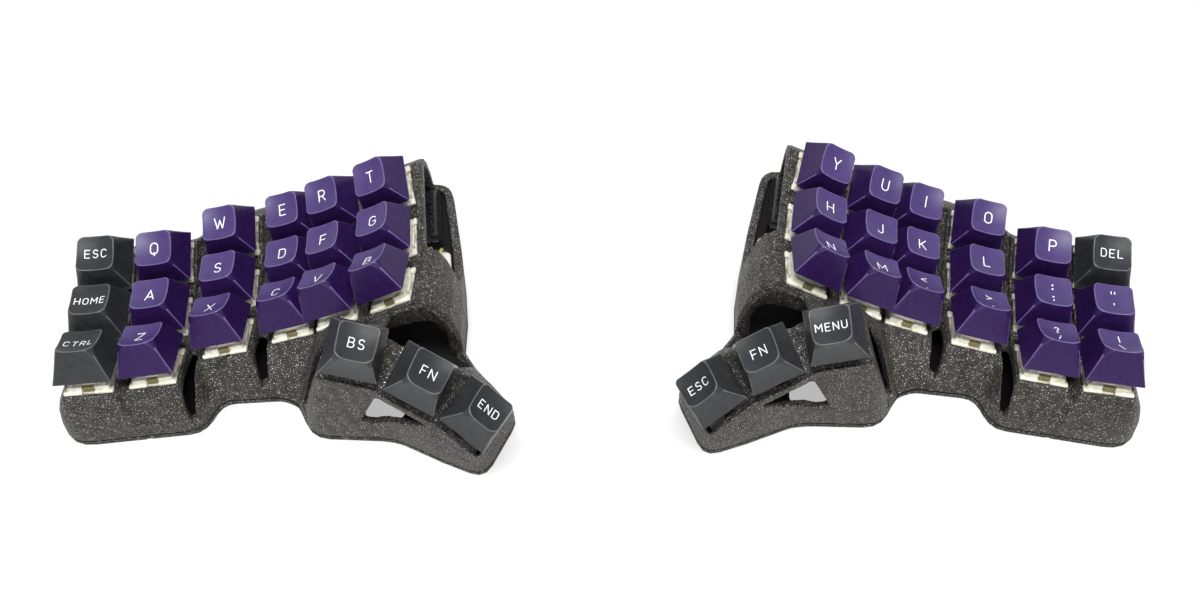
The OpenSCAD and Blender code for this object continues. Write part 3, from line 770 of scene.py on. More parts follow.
def wire_tree(name: str) -> bpy.types.NodeTree:
    """Geometry nodes that sweep a round section along every edge path.

    Args:
        name: Name of the tree.

    Returns:
        The tree.
    """
    tree = new_tree(name, {"Radius": "NodeSocketFloat", "Finish": "NodeSocketMaterial"})
    add = tree.nodes.new
    source, target = add("NodeGroupInput"), add("NodeGroupOutput")
    path, section = add("GeometryNodeMeshToCurve"), add("GeometryNodeCurvePrimitiveCircle")
    sweep = add("GeometryNodeCurveToMesh")
    real, coat = add("GeometryNodeRealizeInstances"), add("GeometryNodeSetMaterial")
    section.inputs["Resolution"].default_value = 12
    sweep.inputs["Fill Caps"].default_value = True
    for a, b in (
        (source.outputs["Geometry"], path.inputs["Mesh"]),
        (source.outputs["Radius"], section.inputs["Radius"]),
        (path.outputs["Curve"], sweep.inputs["Curve"]),
        (section.outputs["Curve"], sweep.inputs["Profile Curve"]),
        (sweep.outputs["Mesh"], real.inputs["Geometry"]),
        (real.outputs["Geometry"], coat.inputs["Geometry"]),
        (source.outputs["Finish"], coat.inputs["Material"]),
        (coat.outputs["Geometry"], target.inputs["Geometry"]),
    ):
        tree.links.new(a, b)
    return tree


def set_inputs(modifier: bpy.types.NodesModifier, values: Dict[str, object]) -> None:
    """Set a node modifier's inputs by their sockets' identifiers.

    Args:
        modifier: The modifier.
        values: Values by socket name.
    """
    for socket in modifier.node_group.interface.items_tree:
        if socket.in_out == "INPUT" and socket.name in values:
            modifier[socket.identifier] = values[socket.name]


def settled(source: bpy.types.Object, name: str, smooth_angle: Optional[float] = None) -> bpy.types.Object:
    """Turn an object's evaluated shape into a plain mesh piece and remove the source.

    Args:
        source: Object with live modifiers.
        name: Name of the new piece.
        smooth_angle: Angle in degrees under which edges are shaded smooth.

    Returns:
        The piece.
    """
    bpy.context.view_layer.update()
    depsgraph = bpy.context.evaluated_depsgraph_get()
    mesh = bpy.data.meshes.new_from_object(source.evaluated_get(depsgraph), depsgraph=depsgraph)
    mesh.name = name
    bpy.data.objects.remove(source)
    made = bpy.data.objects.new(name, mesh)
    bpy.context.scene.collection.objects.link(made)
    if smooth_angle is not None:
        mesh.shade_smooth()
        mesh.set_sharp_from_angle(angle=math.radians(smooth_angle))
    return made


def spread(name: str, template: Mesh, places: Sequence[Matrix],
           finish: object) -> bpy.types.Object:
    """Repeat a template at places that are turned but not mirrored.

    Args:
        name: Name of the piece.
        template: Points in millimetres and faces.
        places: Matrices to metres.
        finish: Finish of the piece.

    Returns:
        One piece with all copies.
    """
    shape = piece(name + "_template", template[0], template[1])
    seeds = piece(name + "_seeds", np.array([m.to_translation() for m in places]), [])
    attribute = seeds.data.attributes.new("turn", "FLOAT_VECTOR", "POINT")
    for item, m in zip(attribute.data, places):
        item.vector = m.to_quaternion().to_euler("XYZ")
    modifier = seeds.modifiers.new("spread", "NODES")
    modifier.node_group = bpy.data.node_groups.get("spread") or spread_tree("spread")
    set_inputs(modifier, {"Template": shape, "Size": MM, "Finish": PALETTE.of(finish)})
    made = settled(seeds, name, SHARP_SPREAD)
    bpy.data.objects.remove(shape)
    return made


# Keycaps


# Points on each corner of an outline, and between two corners
CORNER_POINTS = 9
SIDE_POINTS = 7


class Zone(Enum):
    """Parts of a cap's surface, numbered as its materials are."""

    FLANK = 0
    # Rims and corner ridges, painted paler than the flanks as a highlight
    EDGE_HIGHLIGHT = 1
    # The dish, painted lighter than the purple flanks as sheen and darker than the charcoal flanks as shade
    DISH = 2
    STEM = 3


def unit_outline() -> np.ndarray:
    """Rounded square as corner centre signs and normals, so that any size and rounding can be set.

    Returns:
        Rows of centre x, centre y, normal x, normal y.
    """
    rows = []
    signs = ((1, 1), (-1, 1), (-1, -1), (1, -1))
    for quarter, (cx, cy) in enumerate(signs):
        for step in range(CORNER_POINTS):
            angle = math.pi / 2 * (quarter + step / (CORNER_POINTS - 1))
            rows.append((cx, cy, math.cos(angle), math.sin(angle)))
        nx, ny = signs[(quarter + 1) % len(signs)]
        normal = math.pi / 2 * (quarter + 1)
        for step in range(1, SIDE_POINTS + 1):
            share = step / (SIDE_POINTS + 1)
            centre = (cx + (nx - cx) * share, cy + (ny - cy) * share)
            rows.append((*centre, math.cos(normal), math.sin(normal)))
    return np.array(rows)


OUTLINE = unit_outline()


@dataclass(frozen=True)
class CapForm:
    """Sculpted keycap of one row: hollow flanks, rounded rim and a spherical dish."""

    height: float
    slope: float
    base: float = 18.2
    top_w: float = 11.9
    top_d: float = 12.1
    dish_r: float = 21.0
    side_r: float = 75.0
    wall: float = 1.5
    roof: float = 1.8
    foot_round: float = 0.7
    top_round: float = 2.3
    edge: float = 0.28
    lift: float = 6.5
    corner_share: float = 0.44
    corner_trim: float = 0.71
    round_power: int = 5
    rim_rounds: int = 25
    roof_slack: float = 0.6
    roof_taper: float = 0.7
    foot_taper: float = 0.985
    foot_edge: float = 0.12
    flank_levels: Tuple[float, ...] = (0.08, 0.25, 0.45, 0.65, 0.8, 0.92)
    edge_levels: Tuple[float, ...] = (0, 0.2, 0.4, 0.6, 0.8, 1)
    dish_levels: Tuple[float, ...] = (0.88, 0.74, 0.6, 0.46, 0.32, 0.18)
    ridge_clear: int = 2

    def sink(self) -> float:
        """Distance of the dish's centre above the top's own plane."""
        corner = self.corner_share * (self.top_w + self.top_d) * self.corner_trim
        return math.sqrt(self.dish_r ** 2 - corner ** 2)

    def hollow(self, z: np.ndarray, top: float) -> np.ndarray:
        """Half width of a hollow flank.

        Args:
            z: Heights.
            top: Half width at the top.

        Returns:
            Half width at each height.
        """
        t = z / self.height
        half = self.base / 2
        bow = (self.height ** 2 + (half - top) ** 2) / (8 * self.side_r)
        return half + (top - half) * t - 4 * bow * t * (1 - t)

    def outline(self, z: np.ndarray) -> np.ndarray:
        """Outline whose points each have their own height.

        Args:
            z: Height of each point.

        Returns:
            The points.
        """
        a = self.hollow(z, self.top_w / 2)
        b = self.hollow(z, self.top_d / 2 * math.cos(math.radians(self.slope)))
        r = self.foot_round + (self.top_round - self.foot_round) * (z / self.height) ** self.round_power
        x = OUTLINE[:, 0] * (a - r) + OUTLINE[:, 2] * r
        y = OUTLINE[:, 1] * (b - r) + OUTLINE[:, 3] * r
        return np.stack([x, y, z], axis=1)

    def dish(self, x: np.ndarray, y: np.ndarray) -> np.ndarray:
        """Height of the dish.

        Args:
            x: Places across.
            y: Places along.

        Returns:
            Height over each place.
        """
        angle = math.radians(self.slope)
        back = -self.sink() * math.sin(angle)
        up = self.height + self.sink() * math.cos(angle)
        return up - np.sqrt(self.dish_r ** 2 - x ** 2 - (y - back) ** 2)

    def rim(self) -> np.ndarray:
        """Where the flanks meet the dish, closed in on from one to the other.

        Returns:
            Points of the rim.
        """
        z = np.full(len(OUTLINE), self.height)
        for _ in range(self.rim_rounds):
            p = self.outline(z)
            z = self.dish(p[:, 0], p[:, 1])
        return self.outline(z)

    def shell(self) -> Tuple[np.ndarray, list, List[Zone]]:
        """Closed shell of the cap over its lower edge, hollow inside.

        Returns:
            Points, faces and the zone of each face.
        """
        rim = self.rim()
        top = rim[:, 2]
        flat = np.ones(len(OUTLINE))
        ceiling = self.height - self.roof - (self.dish_r - self.sink()) - self.roof_slack
        share = 1 - self.wall / (self.base / 2)
        inner = self.outline(0 * flat) * (share, share, 1)
        above = self.outline(ceiling * flat) * (self.roof_taper, self.roof_taper, 1)
        below = self.outline(top - self.edge)
        shrink = 1 - self.edge / np.hypot(rim[:, 0], rim[:, 1])
        inside = rim[:, :2] * shrink[:, None]
        onto = np.column_stack([inside, self.dish(inside[:, 0], inside[:, 1])])
        rings = [above, inner, self.outline(0 * flat) * (self.foot_taper, self.foot_taper, 1)]
        rings += [self.outline(self.foot_edge * flat)]
        rings += [self.outline(t * (top - self.edge)) for t in self.flank_levels]
        first = len(rings)
        rings += [below * (1 - u) ** 2 + 2 * u * (1 - u) * rim + u * u * onto for u in self.edge_levels]
        last = len(rings) - 1
        for f in self.dish_levels:
            p = onto[:, :2] * f
            rings.append(np.column_stack([p, self.dish(p[:, 0], p[:, 1])]))
        zero = np.zeros(1)
        points, faces = loft(rings, Vector((0, 0, ceiling)), Vector((0, 0, float(self.dish(zero, zero)[0]))))
        zones = []
        for number in range(len(faces)):
            level = number // len(OUTLINE)
            # Faces away from the middle of a corner, whose ridge takes the rims' paler colour as a painted
            # highlight
            across = abs(number % (CORNER_POINTS + SIDE_POINTS) - (CORNER_POINTS - 2) / 2)
            ridge_highlight = self.ridge_clear < level < first - self.ridge_clear and across < 1
            if ridge_highlight or first <= level < last:
                zones.append(Zone.EDGE_HIGHLIGHT)
            elif last <= level < len(rings) - 1 or level == len(rings):
                zones.append(Zone.DISH)
            else:
                zones.append(Zone.FLANK)
        return points, faces, zones


CAP_FORMS = (CapForm(10.4, 3), CapForm(10.5, -6), CapForm(10.6, -14), CapForm(11.0, -11))


# Steps of an arc and radius of a dot, for letters of height one
ARC_STEPS = 12
DOT_R = 0.07


def arc(cx: float, cy: float, rx: float, ry: float, start: float, end: float) -> Stroke:
    """Points on an arc.

    Args:
        cx: Middle across.
        cy: Middle upwards.
        rx: Radius across.
        ry: Radius upwards.
        start: First angle in degrees.
        end: Last angle in degrees.

    Returns:
        The points.
    """
    angles = [math.radians(start + (end - start) * i / ARC_STEPS) for i in range(ARC_STEPS + 1)]
    return [(cx + rx * math.cos(a), cy + ry * math.sin(a)) for a in angles]


def dot(cx: float, cy: float) -> Stroke:
    """A small round dot."""
    return arc(cx, cy, DOT_R, DOT_R, 0, 360)


def glyphs() -> Dict[str, Tuple[float, List[Stroke]]]:
    """Single stroke letters of height one.

    Returns:
        Width and strokes by letter.
    """
    bowl = arc(0.31, 0.73, 0.26, 0.27, 90, -90)
    loop = arc(0.31, 0.69, 0.31, 0.31, 0, 180) + arc(0.31, 0.31, 0.31, 0.31, 180, 360) + [(0.62, 0.69)]
    hook = arc(0.3, 0.7, 0.3, 0.3, 25, 180) + arc(0.3, 0.3, 0.3, 0.3, 180, 335)
    comma: Stroke = [(0.06, 0.1), (0.05, -0.02), (-0.04, -0.16)]
    return {
        "A": (0.70, [[(0, 0), (0.35, 1), (0.70, 0)], [(0.12, 0.3), (0.58, 0.3)]]),
        "B": (0.58, [[(0.32, 1), (0, 1), (0, 0), (0.33, 0)], [(0, 0.53), (0.33, 0.53)],
                     arc(0.32, 0.765, 0.22, 0.235, 90, -90), arc(0.33, 0.265, 0.25, 0.265, 90, -90)]),
        "C": (0.60, [hook]),
        "D": (0.60, [[(0.28, 1), (0, 1), (0, 0), (0.28, 0)],
                     arc(0.28, 0.68, 0.32, 0.32, 90, 0) + arc(0.28, 0.32, 0.32, 0.32, 0, -90)]),
        "E": (0.54, [[(0.54, 1), (0, 1), (0, 0), (0.54, 0)], [(0, 0.52), (0.46, 0.52)]]),
        "F": (0.52, [[(0.52, 1), (0, 1), (0, 0)], [(0, 0.5), (0.44, 0.5)]]),
        "G": (0.62, [hook[:ARC_STEPS + 1] + arc(0.31, 0.3, 0.31, 0.3, 180, 360)
                     + [(0.62, 0.48), (0.36, 0.48)]]),
        "H": (0.62, [[(0, 0), (0, 1)], [(0.62, 0), (0.62, 1)], [(0, 0.51), (0.62, 0.51)]]),
        "I": (0.00, [[(0, 0), (0, 1)]]),
        "J": (0.46, [[(0.46, 1), (0.46, 0.25)] + arc(0.23, 0.23, 0.23, 0.23, 0, -165)]),
        "K": (0.60, [[(0, 0), (0, 1)], [(0.56, 1), (0, 0.38)], [(0.2, 0.6), (0.6, 0)]]),
        "L": (0.50, [[(0, 1), (0, 0), (0.5, 0)]]),
        "M": (0.76, [[(0, 0), (0, 1), (0.38, 0.4), (0.76, 1), (0.76, 0)]]),
        "N": (0.64, [[(0, 0), (0, 1), (0.64, 0), (0.64, 1)]]),
        "O": (0.62, [loop]),
        "P": (0.57, [[(0, 0), (0, 1), (0.31, 1)] + bowl + [(0, 0.46)]]),
        "Q": (0.62, [loop, [(0.31, 0.14), (0.36, -0.14)]]),
        "R": (0.58, [[(0, 0), (0, 1), (0.31, 1)] + bowl + [(0, 0.46)], [(0.3, 0.46), (0.58, 0)]]),
        "S": (0.56, [arc(0.28, 0.75, 0.25, 0.25, 25, 270) + arc(0.28, 0.25, 0.27, 0.25, 90, -155)]),
        "T": (0.60, [[(0, 1), (0.6, 1)], [(0.3, 1), (0.3, 0)]]),
        "U": (0.62, [[(0, 1), (0, 0.31)] + arc(0.31, 0.31, 0.31, 0.31, 180, 360) + [(0.62, 1)]]),
        "V": (0.66, [[(0, 1), (0.33, 0), (0.66, 1)]]),
        "W": (0.92, [[(0, 1), (0.23, 0), (0.46, 0.78), (0.69, 0), (0.92, 1)]]),
        "X": (0.62, [[(0, 1), (0.62, 0)], [(0, 0), (0.62, 1)]]),
        "Y": (0.64, [[(0, 1), (0.32, 0.48), (0.64, 1)], [(0.32, 0.48), (0.32, 0)]]),
        "Z": (0.58, [[(0, 1), (0.58, 1), (0, 0), (0.58, 0)]]),
        ",": (0.05, [comma]),
        ".": (0.10, [dot(0.05, 0.05)]),
        ";": (0.10, [comma, dot(0.05, 0.62)]),
        ":": (0.10, [dot(0.05, 0.1), dot(0.05, 0.72)]),
        "<": (0.74, [[(0.74, 0.84), (0, 0.45), (0.74, 0.06)]]),
        ">": (0.74, [[(0, 0.84), (0.74, 0.45), (0, 0.06)]]),
        "/": (0.50, [[(0, -0.05), (0.50, 1.05)]]),
        "?": (0.52, [arc(0.26, 0.74, 0.26, 0.26, 165, -55) + [(0.26, 0.38)], dot(0.26, 0.0)]),
        "'": (0.00, [[(0, 1), (0, 0.72)]]),
        '"': (0.44, [[(0, 1), (0, 0.72)], [(0.44, 1), (0.44, 0.72)]]),
        "\\": (0.50, [[(0, 1.05), (0.50, -0.05)]]),
        "|": (0.00, [[(0, 1.1), (0, -0.1)]]),
    }


GLYPHS = glyphs()
# Height of a word by the number of its letters
WORD_SIZES = {1: 4.0, 2: 3.1, 3: 2.8, 4: 2.5}


@dataclass(frozen=True)
class Legend:
    """White legend laid on a cap's dish: one word, or two signs above each other."""

    words: Tuple[str, ...]
    step: float = 0.1
    proud: float = 0.03
    sunk: float = 0.12
    pair_size: float = 2.5
    pair_apart: float = 1.1
    spacing: float = 0.4
    letter_weight: float = 0.2
    pair_weight: float = 0.18
    word_weight: float = 0.15

    def height(self) -> float:
        """Height of the letters, lower in longer words.

        Returns:
            The height in millimetres.
        """
        if len(self.words) > 1:
            return self.pair_size
        return WORD_SIZES[len(self.words[0])]

    def weight(self) -> float:
        """Half the width of a stroke.

        Returns:
            The half width in millimetres.
        """
        if len(self.words) > 1:
            return self.pair_weight
        return self.letter_weight if len(self.words[0]) == 1 else self.word_weight

    def strokes(self) -> List[np.ndarray]:
        """Strokes about the middle of the top.

        Returns:
            Points of each stroke, in millimetres.
        """
        size, found = self.height(), []
        gap = self.spacing * size
        lows = (-size / 2,) if len(self.words) == 1 else (self.pair_apart, -self.pair_apart - size)
        for low, word in zip(lows, self.words):
            width = sum(GLYPHS[c][0] * size for c in word) + gap * (len(word) - 1)
            left = -width / 2
            for c in word:
                for stroke in GLYPHS[c][1]:
                    found.append(np.array(stroke) * size + (left, low))
                left += GLYPHS[c][0] * size + gap
        return found

    def distance(self, where: np.ndarray) -> np.ndarray:
        """Distance to the nearest stroke.

        Args:
            where: Points.

        Returns:
            Distance of each point.
        """
        best = np.full(len(where), 1e9)
        for stroke in self.strokes():
            for a, b in zip(stroke[:-1], stroke[1:]):
                along = b - a
                t = np.clip((where - a) @ along / max(float(along @ along), 1e-9), 0, 1)
                best = np.minimum(best, np.linalg.norm(where - a - t[:, None] * along, axis=1))
        return best

    def sheet(self) -> Mesh:
        """Flat shape of the strokes, cut out of a grid cell by cell.

        Returns:
            Points and faces.
        """
        ends = np.concatenate(self.strokes())
        low = ends.min(0) - self.weight() - self.step
        count = np.ceil((ends.max(0) + self.weight() + self.step - low) / self.step).astype(int) + 1
        grid = np.stack(np.meshgrid(range(count[0]), range(count[1]), indexing="ij"), -1).reshape(-1, 2)
        value = (self.distance(low + grid * self.step) - self.weight()).reshape(count[0], count[1])
        points: List[np.ndarray] = []
        index: Dict[tuple, int] = {}

        def point(key: tuple, at: np.ndarray) -> int:
            """Number of a point, made at its first use.

            Args:
                key: Grid corner, or the two corners of the edge that it lies on.
                at: Its place in cells.

            Returns:
                Its number.
            """
            if key not in index:
                index[key] = len(points)
                points.append(low + at * self.step)
            return index[key]

        faces = []
        for i in range(count[0] - 1):
            for j in range(count[1] - 1):
                corners = [(i, j), (i + 1, j), (i + 1, j + 1), (i, j + 1)]
                if all(value[c] >= 0 for c in corners):
                    continue
                loop = []
                for a, b in zip(corners, corners[1:] + corners[:1]):
                    if value[a] < 0:
                        loop.append(point((a,), np.array(a, float)))
                    if (value[a] < 0) != (value[b] < 0):
                        t = value[a] / (value[a] - value[b])
                        at = np.array(a) + t * (np.array(b) - np.array(a))
                        loop.append(point((min(a, b), max(a, b)), at))
                faces.append(tuple(loop))
        return np.array(points), faces

    def solid(self, form: CapForm) -> Mesh:
        """Thin closed solid on a cap's dish.

        Args:
            form: Form of the cap.

        Returns:
            Points over the cap's lower edge, and faces.
        """
        flat, faces = self.sheet()
        x, y = flat[:, 0], flat[:, 1] * math.cos(math.radians(form.slope))
        z = form.dish(x, y)
        top = np.column_stack([x, y, z + self.proud])
        low = np.column_stack([x, y, z - self.sunk])
        count = len(flat)
        edges = {(a, b) for f in faces for a, b in zip(f, f[1:] + f[:1])}
        border = [(a, b) for a, b in edges if (b, a) not in edges]
        walls = [(b, a, a + count, b + count) for a, b in sorted(border)]
        under = [tuple(i + count for i in reversed(f)) for f in faces]
        return np.concatenate([top, low]), faces + under + walls


LETTERS = {
    Side.LEFT: (("T", "G", "B"), ("R", "F", "V"), ("E", "D", "C"), ("W", "S", "X"), ("Q", "A", "Z"),
                ("ESC", "HOME", "CTRL"), ("BS", "FN", "END")),
    Side.RIGHT: (("Y", "H", "N"), ("U", "J", "M"), ("I", "K", "< ,"), ("O", "L", "> ."), ("P", ": ;", "? /"),
                 ("DEL", "\" '", "| \\"), ("MENU", "FN", "ESC")),
}


@dataclass
class Keycap:
    """One sculpted cap with its slider and its legend."""

    key: KeyPlace
    stem_w: float = 6.6
    stem_d: float = 5.4
    stem_low: float = 1.4
    stem_edge: float = 0.3
    post_r: float = 2.75
    post_clear: float = 3.2

    def form(self) -> CapForm:
        """Form of the cap's row; the thumbs share the last."""
        return CAP_FORMS[len(ROWS) if self.key.column == THUMB else self.key.row]

    def cap(self) -> None:
        """Make the cap, the slider under it and the post between them, and dress each zone."""
        form, name, colour = self.form(), self.key.name(), self.key.colour()
        shell, faces, zones = form.shell()
        wide, deep = self.stem_w / 2, self.stem_d / 2
        stem_top, post_top = form.lift + self.stem_edge, form.lift + form.height - self.post_clear
        stem = softened_box((-wide, -deep, self.stem_low), (wide, deep, stem_top), self.stem_edge)
        post = lathe([(self.post_r, form.lift), (self.post_r, post_top)], 24)
        points, polygons = joined([(shell + (0, 0, form.lift), faces), stem, post])
        made = piece(name + "_cap", placed(points, self.key.matrix()), polygons)
        for finish in (*CAP_FINISHES[colour], MilkyPlastic()):
            made.data.materials.append(PALETTE.of(finish))
        zones += [Zone.STEM] * len(stem[1])
        for polygon, zone in zip(made.data.polygons, zones):
            polygon.material_index = zone.value
        made.data.set_sharp_from_angle(angle=math.radians(SHARP_CAP))
        finish_piece(made, name + "_key", colour.value, name + "_keycap")

    def legend(self) -> None:
        """Make the legend on the cap's dish."""
        form, name = self.form(), self.key.name()
        words = LETTERS[self.key.half.side][self.key.column][self.key.row].split(" ")
        flat, outline = Legend(tuple(words)).solid(form)
        made = piece(name + "_legend", placed(flat + (0, 0, form.lift), self.key.matrix()), outline)
        made.data.materials.append(PALETTE.of(INK))
        made.data.set_sharp_from_angle(angle=math.radians(SHARP_CAP))
        finish_piece(made, name + "_key", "milky_housing")

    def build(self) -> None:
        """Make the cap and its legend, which both ride on the key's body."""
        self.cap()
        self.legend()


# Switches


@dataclass
class SwitchBank:
    """All switches of one half: a flanged hood over each plate and a body under it."""

    half: HalfPlace
    flange: float = 15.6
    flange_t: float = 1.0
    hood_low: float = 13.0
    hood_top: float = 10.6
    hood_h: float = 6.2
    body: float = 13.8
    body_h: float = 5.0
    hole: Triple = (3.65, 3.05, 0.2)
    well: float = 2.9
    seat: float = 0.02
    notch: float = 1.9
    # Inset, depth and rise above the flange of an ear's two steps
    ears: Tuple[Triple, ...] = ((0, 2.4, 0.3), (1.1, 4.2, 1.7))
    nub_r: float = 0.7
    nub_inset: Point = (2.6, 2.2)
    leaf_w: float = 3.6
    leaf_inset: Point = (1.3, 4.0)
    clip_gap: float = 2.0
    peg_r: float = 1.95
    pin_r: float = 0.7
    pins: Tuple[Point, ...] = ((-3.8, 2.5), (2.5, 5))

    def places(self, thumbs: bool) -> List[Matrix]:
        """Places of the half's thumb switches, or of its finger switches."""
        return [key.matrix() for key in KEYS if key.half is self.half and (key.column == THUMB) is thumbs]

    @staticmethod
    def ring(a: float, b: float, r: float, z: float) -> np.ndarray:
        """Rounded outline at a height.

        Args:
            a: Half its width.
            b: Half its depth.
            r: Radius of its corners.
            z: Its height.

        Returns:
            Points of the outline.
        """
        return np.column_stack([OUTLINE[:, 0] * (a - r) + OUTLINE[:, 2] * r,
                                OUTLINE[:, 1] * (b - r) + OUTLINE[:, 3] * r, np.full(len(OUTLINE), z)])

    def hood(self) -> Mesh:
        """Flange with ears, nubs and notches, and the tapered tower round the slider.

        Returns:
            Points and faces.
        """
        w, t = self.flange / 2, self.flange_t
        slab = ((*self.hole, self.seat), (w - 1.1, w - 1.6, 0.4, self.seat), (w - 1.1, w - 1.6, 0.4, t - 0.1),
                (*self.hole, t - 0.1), (*self.hole, self.seat))
        parts = [loft([self.ring(*level) for level in slab], None, None)]
        for sx, sy in ((-1, -1), (-1, 1), (1, -1), (1, 1)):
            for inset, depth, rise in self.ears:
                x0, x1 = sorted((sx * self.notch, sx * (w - inset)))
                y0, y1 = sorted((sy * (w - depth), sy * (w - inset)))
                parts.append(softened_box((x0, y0, self.seat), (x1, y1, t + rise), 0.4))
            nub, faces = lathe([(self.nub_r, t + 1.2), (self.nub_r, t + 1.8), (0.45, t + 2.0)], 16)
            parts.append((nub + (sx * (w - self.nub_inset[0]), sy * (w - self.nub_inset[1]), 0), faces))
        low, top = self.hood_low / 2, self.hood_top / 2
        tower = ((*self.hole, t), (low, low - 1, 0.8, t - 0.2), (low, low - 1, 0.8, t),
                 (top + 0.15, top - 0.8, 1.0, self.hood_h - 0.5), (top - 0.3, top - 1.2, 1.0, self.hood_h),
                 (*self.hole, self.hood_h), (*self.hole, t))
        parts.append(loft([self.ring(*level) for level in tower], None, None))
        return joined(parts)

    def leaf(self) -> Mesh:
        """Contact leaves that show between the ears.

        Returns:
            Points and faces.
        """
        w, t = self.flange / 2, self.flange_t
        parts = []
        for sy in (-1, 1):
            y0, y1 = sorted(sy * (w - inset) for inset in self.leaf_inset)
            parts.append(softened_box((-self.leaf_w / 2, y0, 0.1), (self.leaf_w / 2, y1, t + 1.2), 0.15))
        return joined(parts)

    def lower(self) -> Mesh:
        """Body under the plate, with its well, clips, peg and pins.

        Returns:
            Points and faces.
        """
        w, foot = self.body / 2, -self.body_h
        tub = ((w - 0.9, w - 0.3, 0.4, foot), (w - 0.6, w, 0.4, foot + 0.3), (w - 0.6, w, 0.4, 0),
               (*self.hole, 0), (*self.hole, -self.well))
        parts = [loft([self.ring(*level) for level in tub], Vector((0, 0, foot)), Vector((0, 0, -self.well)))]
        for sx in (-1, 1):
            for y0, y1 in ((-w, -self.clip_gap), (self.clip_gap, w)):
                x0, x1 = sorted((sx * (w - 1), sx * w))
                parts.append(softened_box((x0, y0, foot), (x1, y1, 0), 0.25))
        pins = [(self.half.sign() * x, y, self.pin_r) for x, y in self.pins]
        for x, y, r in [(0, 0, self.peg_r)] + pins:
            points, faces = lathe([(0.6 * r, foot - 3), (r, foot - 2.4), (r, foot + 0.2)], 16)
            parts.append((points + (x, y, 0), faces))
        return joined(parts)

    def build(self) -> None:
        """Set hoods and bodies on every key of the half; the thumbs' switches are black."""
        side = self.half.side.value
        for thumbs, name, finish, slot in ((False, "switch", MilkyPlastic(), "milky_housing"),
                                           (True, "thumb_switch", BLACK, "black_plastic")):
            for word, shape in (("hoods", self.hood()), ("bodies", self.lower())):
                made = spread(f"{side}_{name}_{word}_set", shape, self.places(thumbs), finish)
                finish_piece(made, FRAME_BODY, slot, f"{side}_switch_{word}")
        made = spread(f"{side}_switch_leaves_set", self.leaf(), self.places(False), LEAF)
        finish_piece(made, FRAME_BODY, "brass", f"{side}_switch_hoods")


# Case


@dataclass
class Case:
    """Printed case of one half: its solid, smoothed as the print's soft edges are."""

    half: HalfPlace
    voxel: float = 0.45
    rounds: int = 3
    most: int = 190000
    weld: float = 1e-6
    softness: float = 0.5

    def build(self) -> None:
        """Remesh a copy of the case finely and soften its edges."""
        node = f"{self.half.side.value}_case"
        copy = bpy.data.objects.new(node + "_copy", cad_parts[node].data.copy())
        bpy.context.scene.collection.objects.link(copy)
        work = bmesh.new()
        work.from_mesh(copy.data)
        bmesh.ops.remove_doubles(work, verts=work.verts[:], dist=self.weld)
        work.to_mesh(copy.data)
        work.free()
        grid = copy.modifiers.new("grid", "REMESH")
        grid.mode, grid.voxel_size, grid.adaptivity = "VOXEL", self.voxel * MM, 0
        soft = copy.modifiers.new("soft", "SMOOTH")
        soft.factor, soft.iterations = self.softness, self.rounds
        graph = bpy.context.evaluated_depsgraph_get()
        count = sum(len(f.vertices) - 2 for f in copy.evaluated_get(graph).data.polygons)
        thin = copy.modifiers.new("thin", "DECIMATE")
        thin.ratio = min(1.0, self.most / count)
        made = settled(copy, node + "_print")
        made.data.shade_smooth()
        made.data.materials.clear()
        made.data.materials.append(PALETTE.of(Filament()))
        finish_piece(made, FRAME_BODY, "case", node)


@dataclass
class Underside:
    """Screws and rubber feet under both halves."""

    bosses: Tuple[Point, ...] = ((58, -44.1), (57, 18.4), (-20, 40), (-73, -65), (-18.5, -50.4))
    feet: Tuple[Point, ...] = ((48, -42), (47, 14), (-52, 30), (-60, -61), (-8, 30))
    head_r: float = 2.6
    shank_r: float = 1.2
    shank_l: float = 5.0
    foot_r: float = 4.5
    foot_t: float = 1.38
    screw_z: float = 0.7

    def places(self, spots: Sequence[Point], z: float) -> List[Matrix]:
        """Places in both halves.

        Args:
            spots: Places in the right half.
            z: Their height.

        Returns:
            Matrices to metres.
        """
        found = []
        for half in HALVES:
            for x, y in spots:
                found.append(half.matrix() @ Matrix.Translation((half.sign() * x, y, z)))
        return found

    def screw(self) -> Mesh:
        """Screw with a bevelled head and a round drive hole, point up.

        Returns:
            Points and faces.
        """
        r, s, tip = self.head_r, self.shank_r, self.shank_l
        return lathe([(1.25, 0.75), (1.25, 0.05), (r - 0.4, 0), (r, 0.35), (r, 1.2), (s, 1.2), (s, tip + 0.6),
                      (0.5 * s, tip + 1)], 24)

    def foot(self) -> Mesh:
        """Foot with rounded edges."""
        r, t = self.foot_r, self.foot_t
        return lathe([(r - 0.5, 0), (r - 0.15, 0.12), (r, 0.45), (r, t), (0.5 * r, t)], 40)

    def build(self) -> None:
        """Set the screws and the feet."""
        screws = spread("base_screw_set", self.screw(), self.places(self.bosses, self.screw_z), STEEL)
        finish_piece(screws, FRAME_BODY, "metal", "base_screws")
        feet = spread("rubber_foot_set", self.foot(), self.places(self.feet, 0), RUBBER)
        finish_piece(feet, FRAME_BODY, "rubber", "rubber_feet")


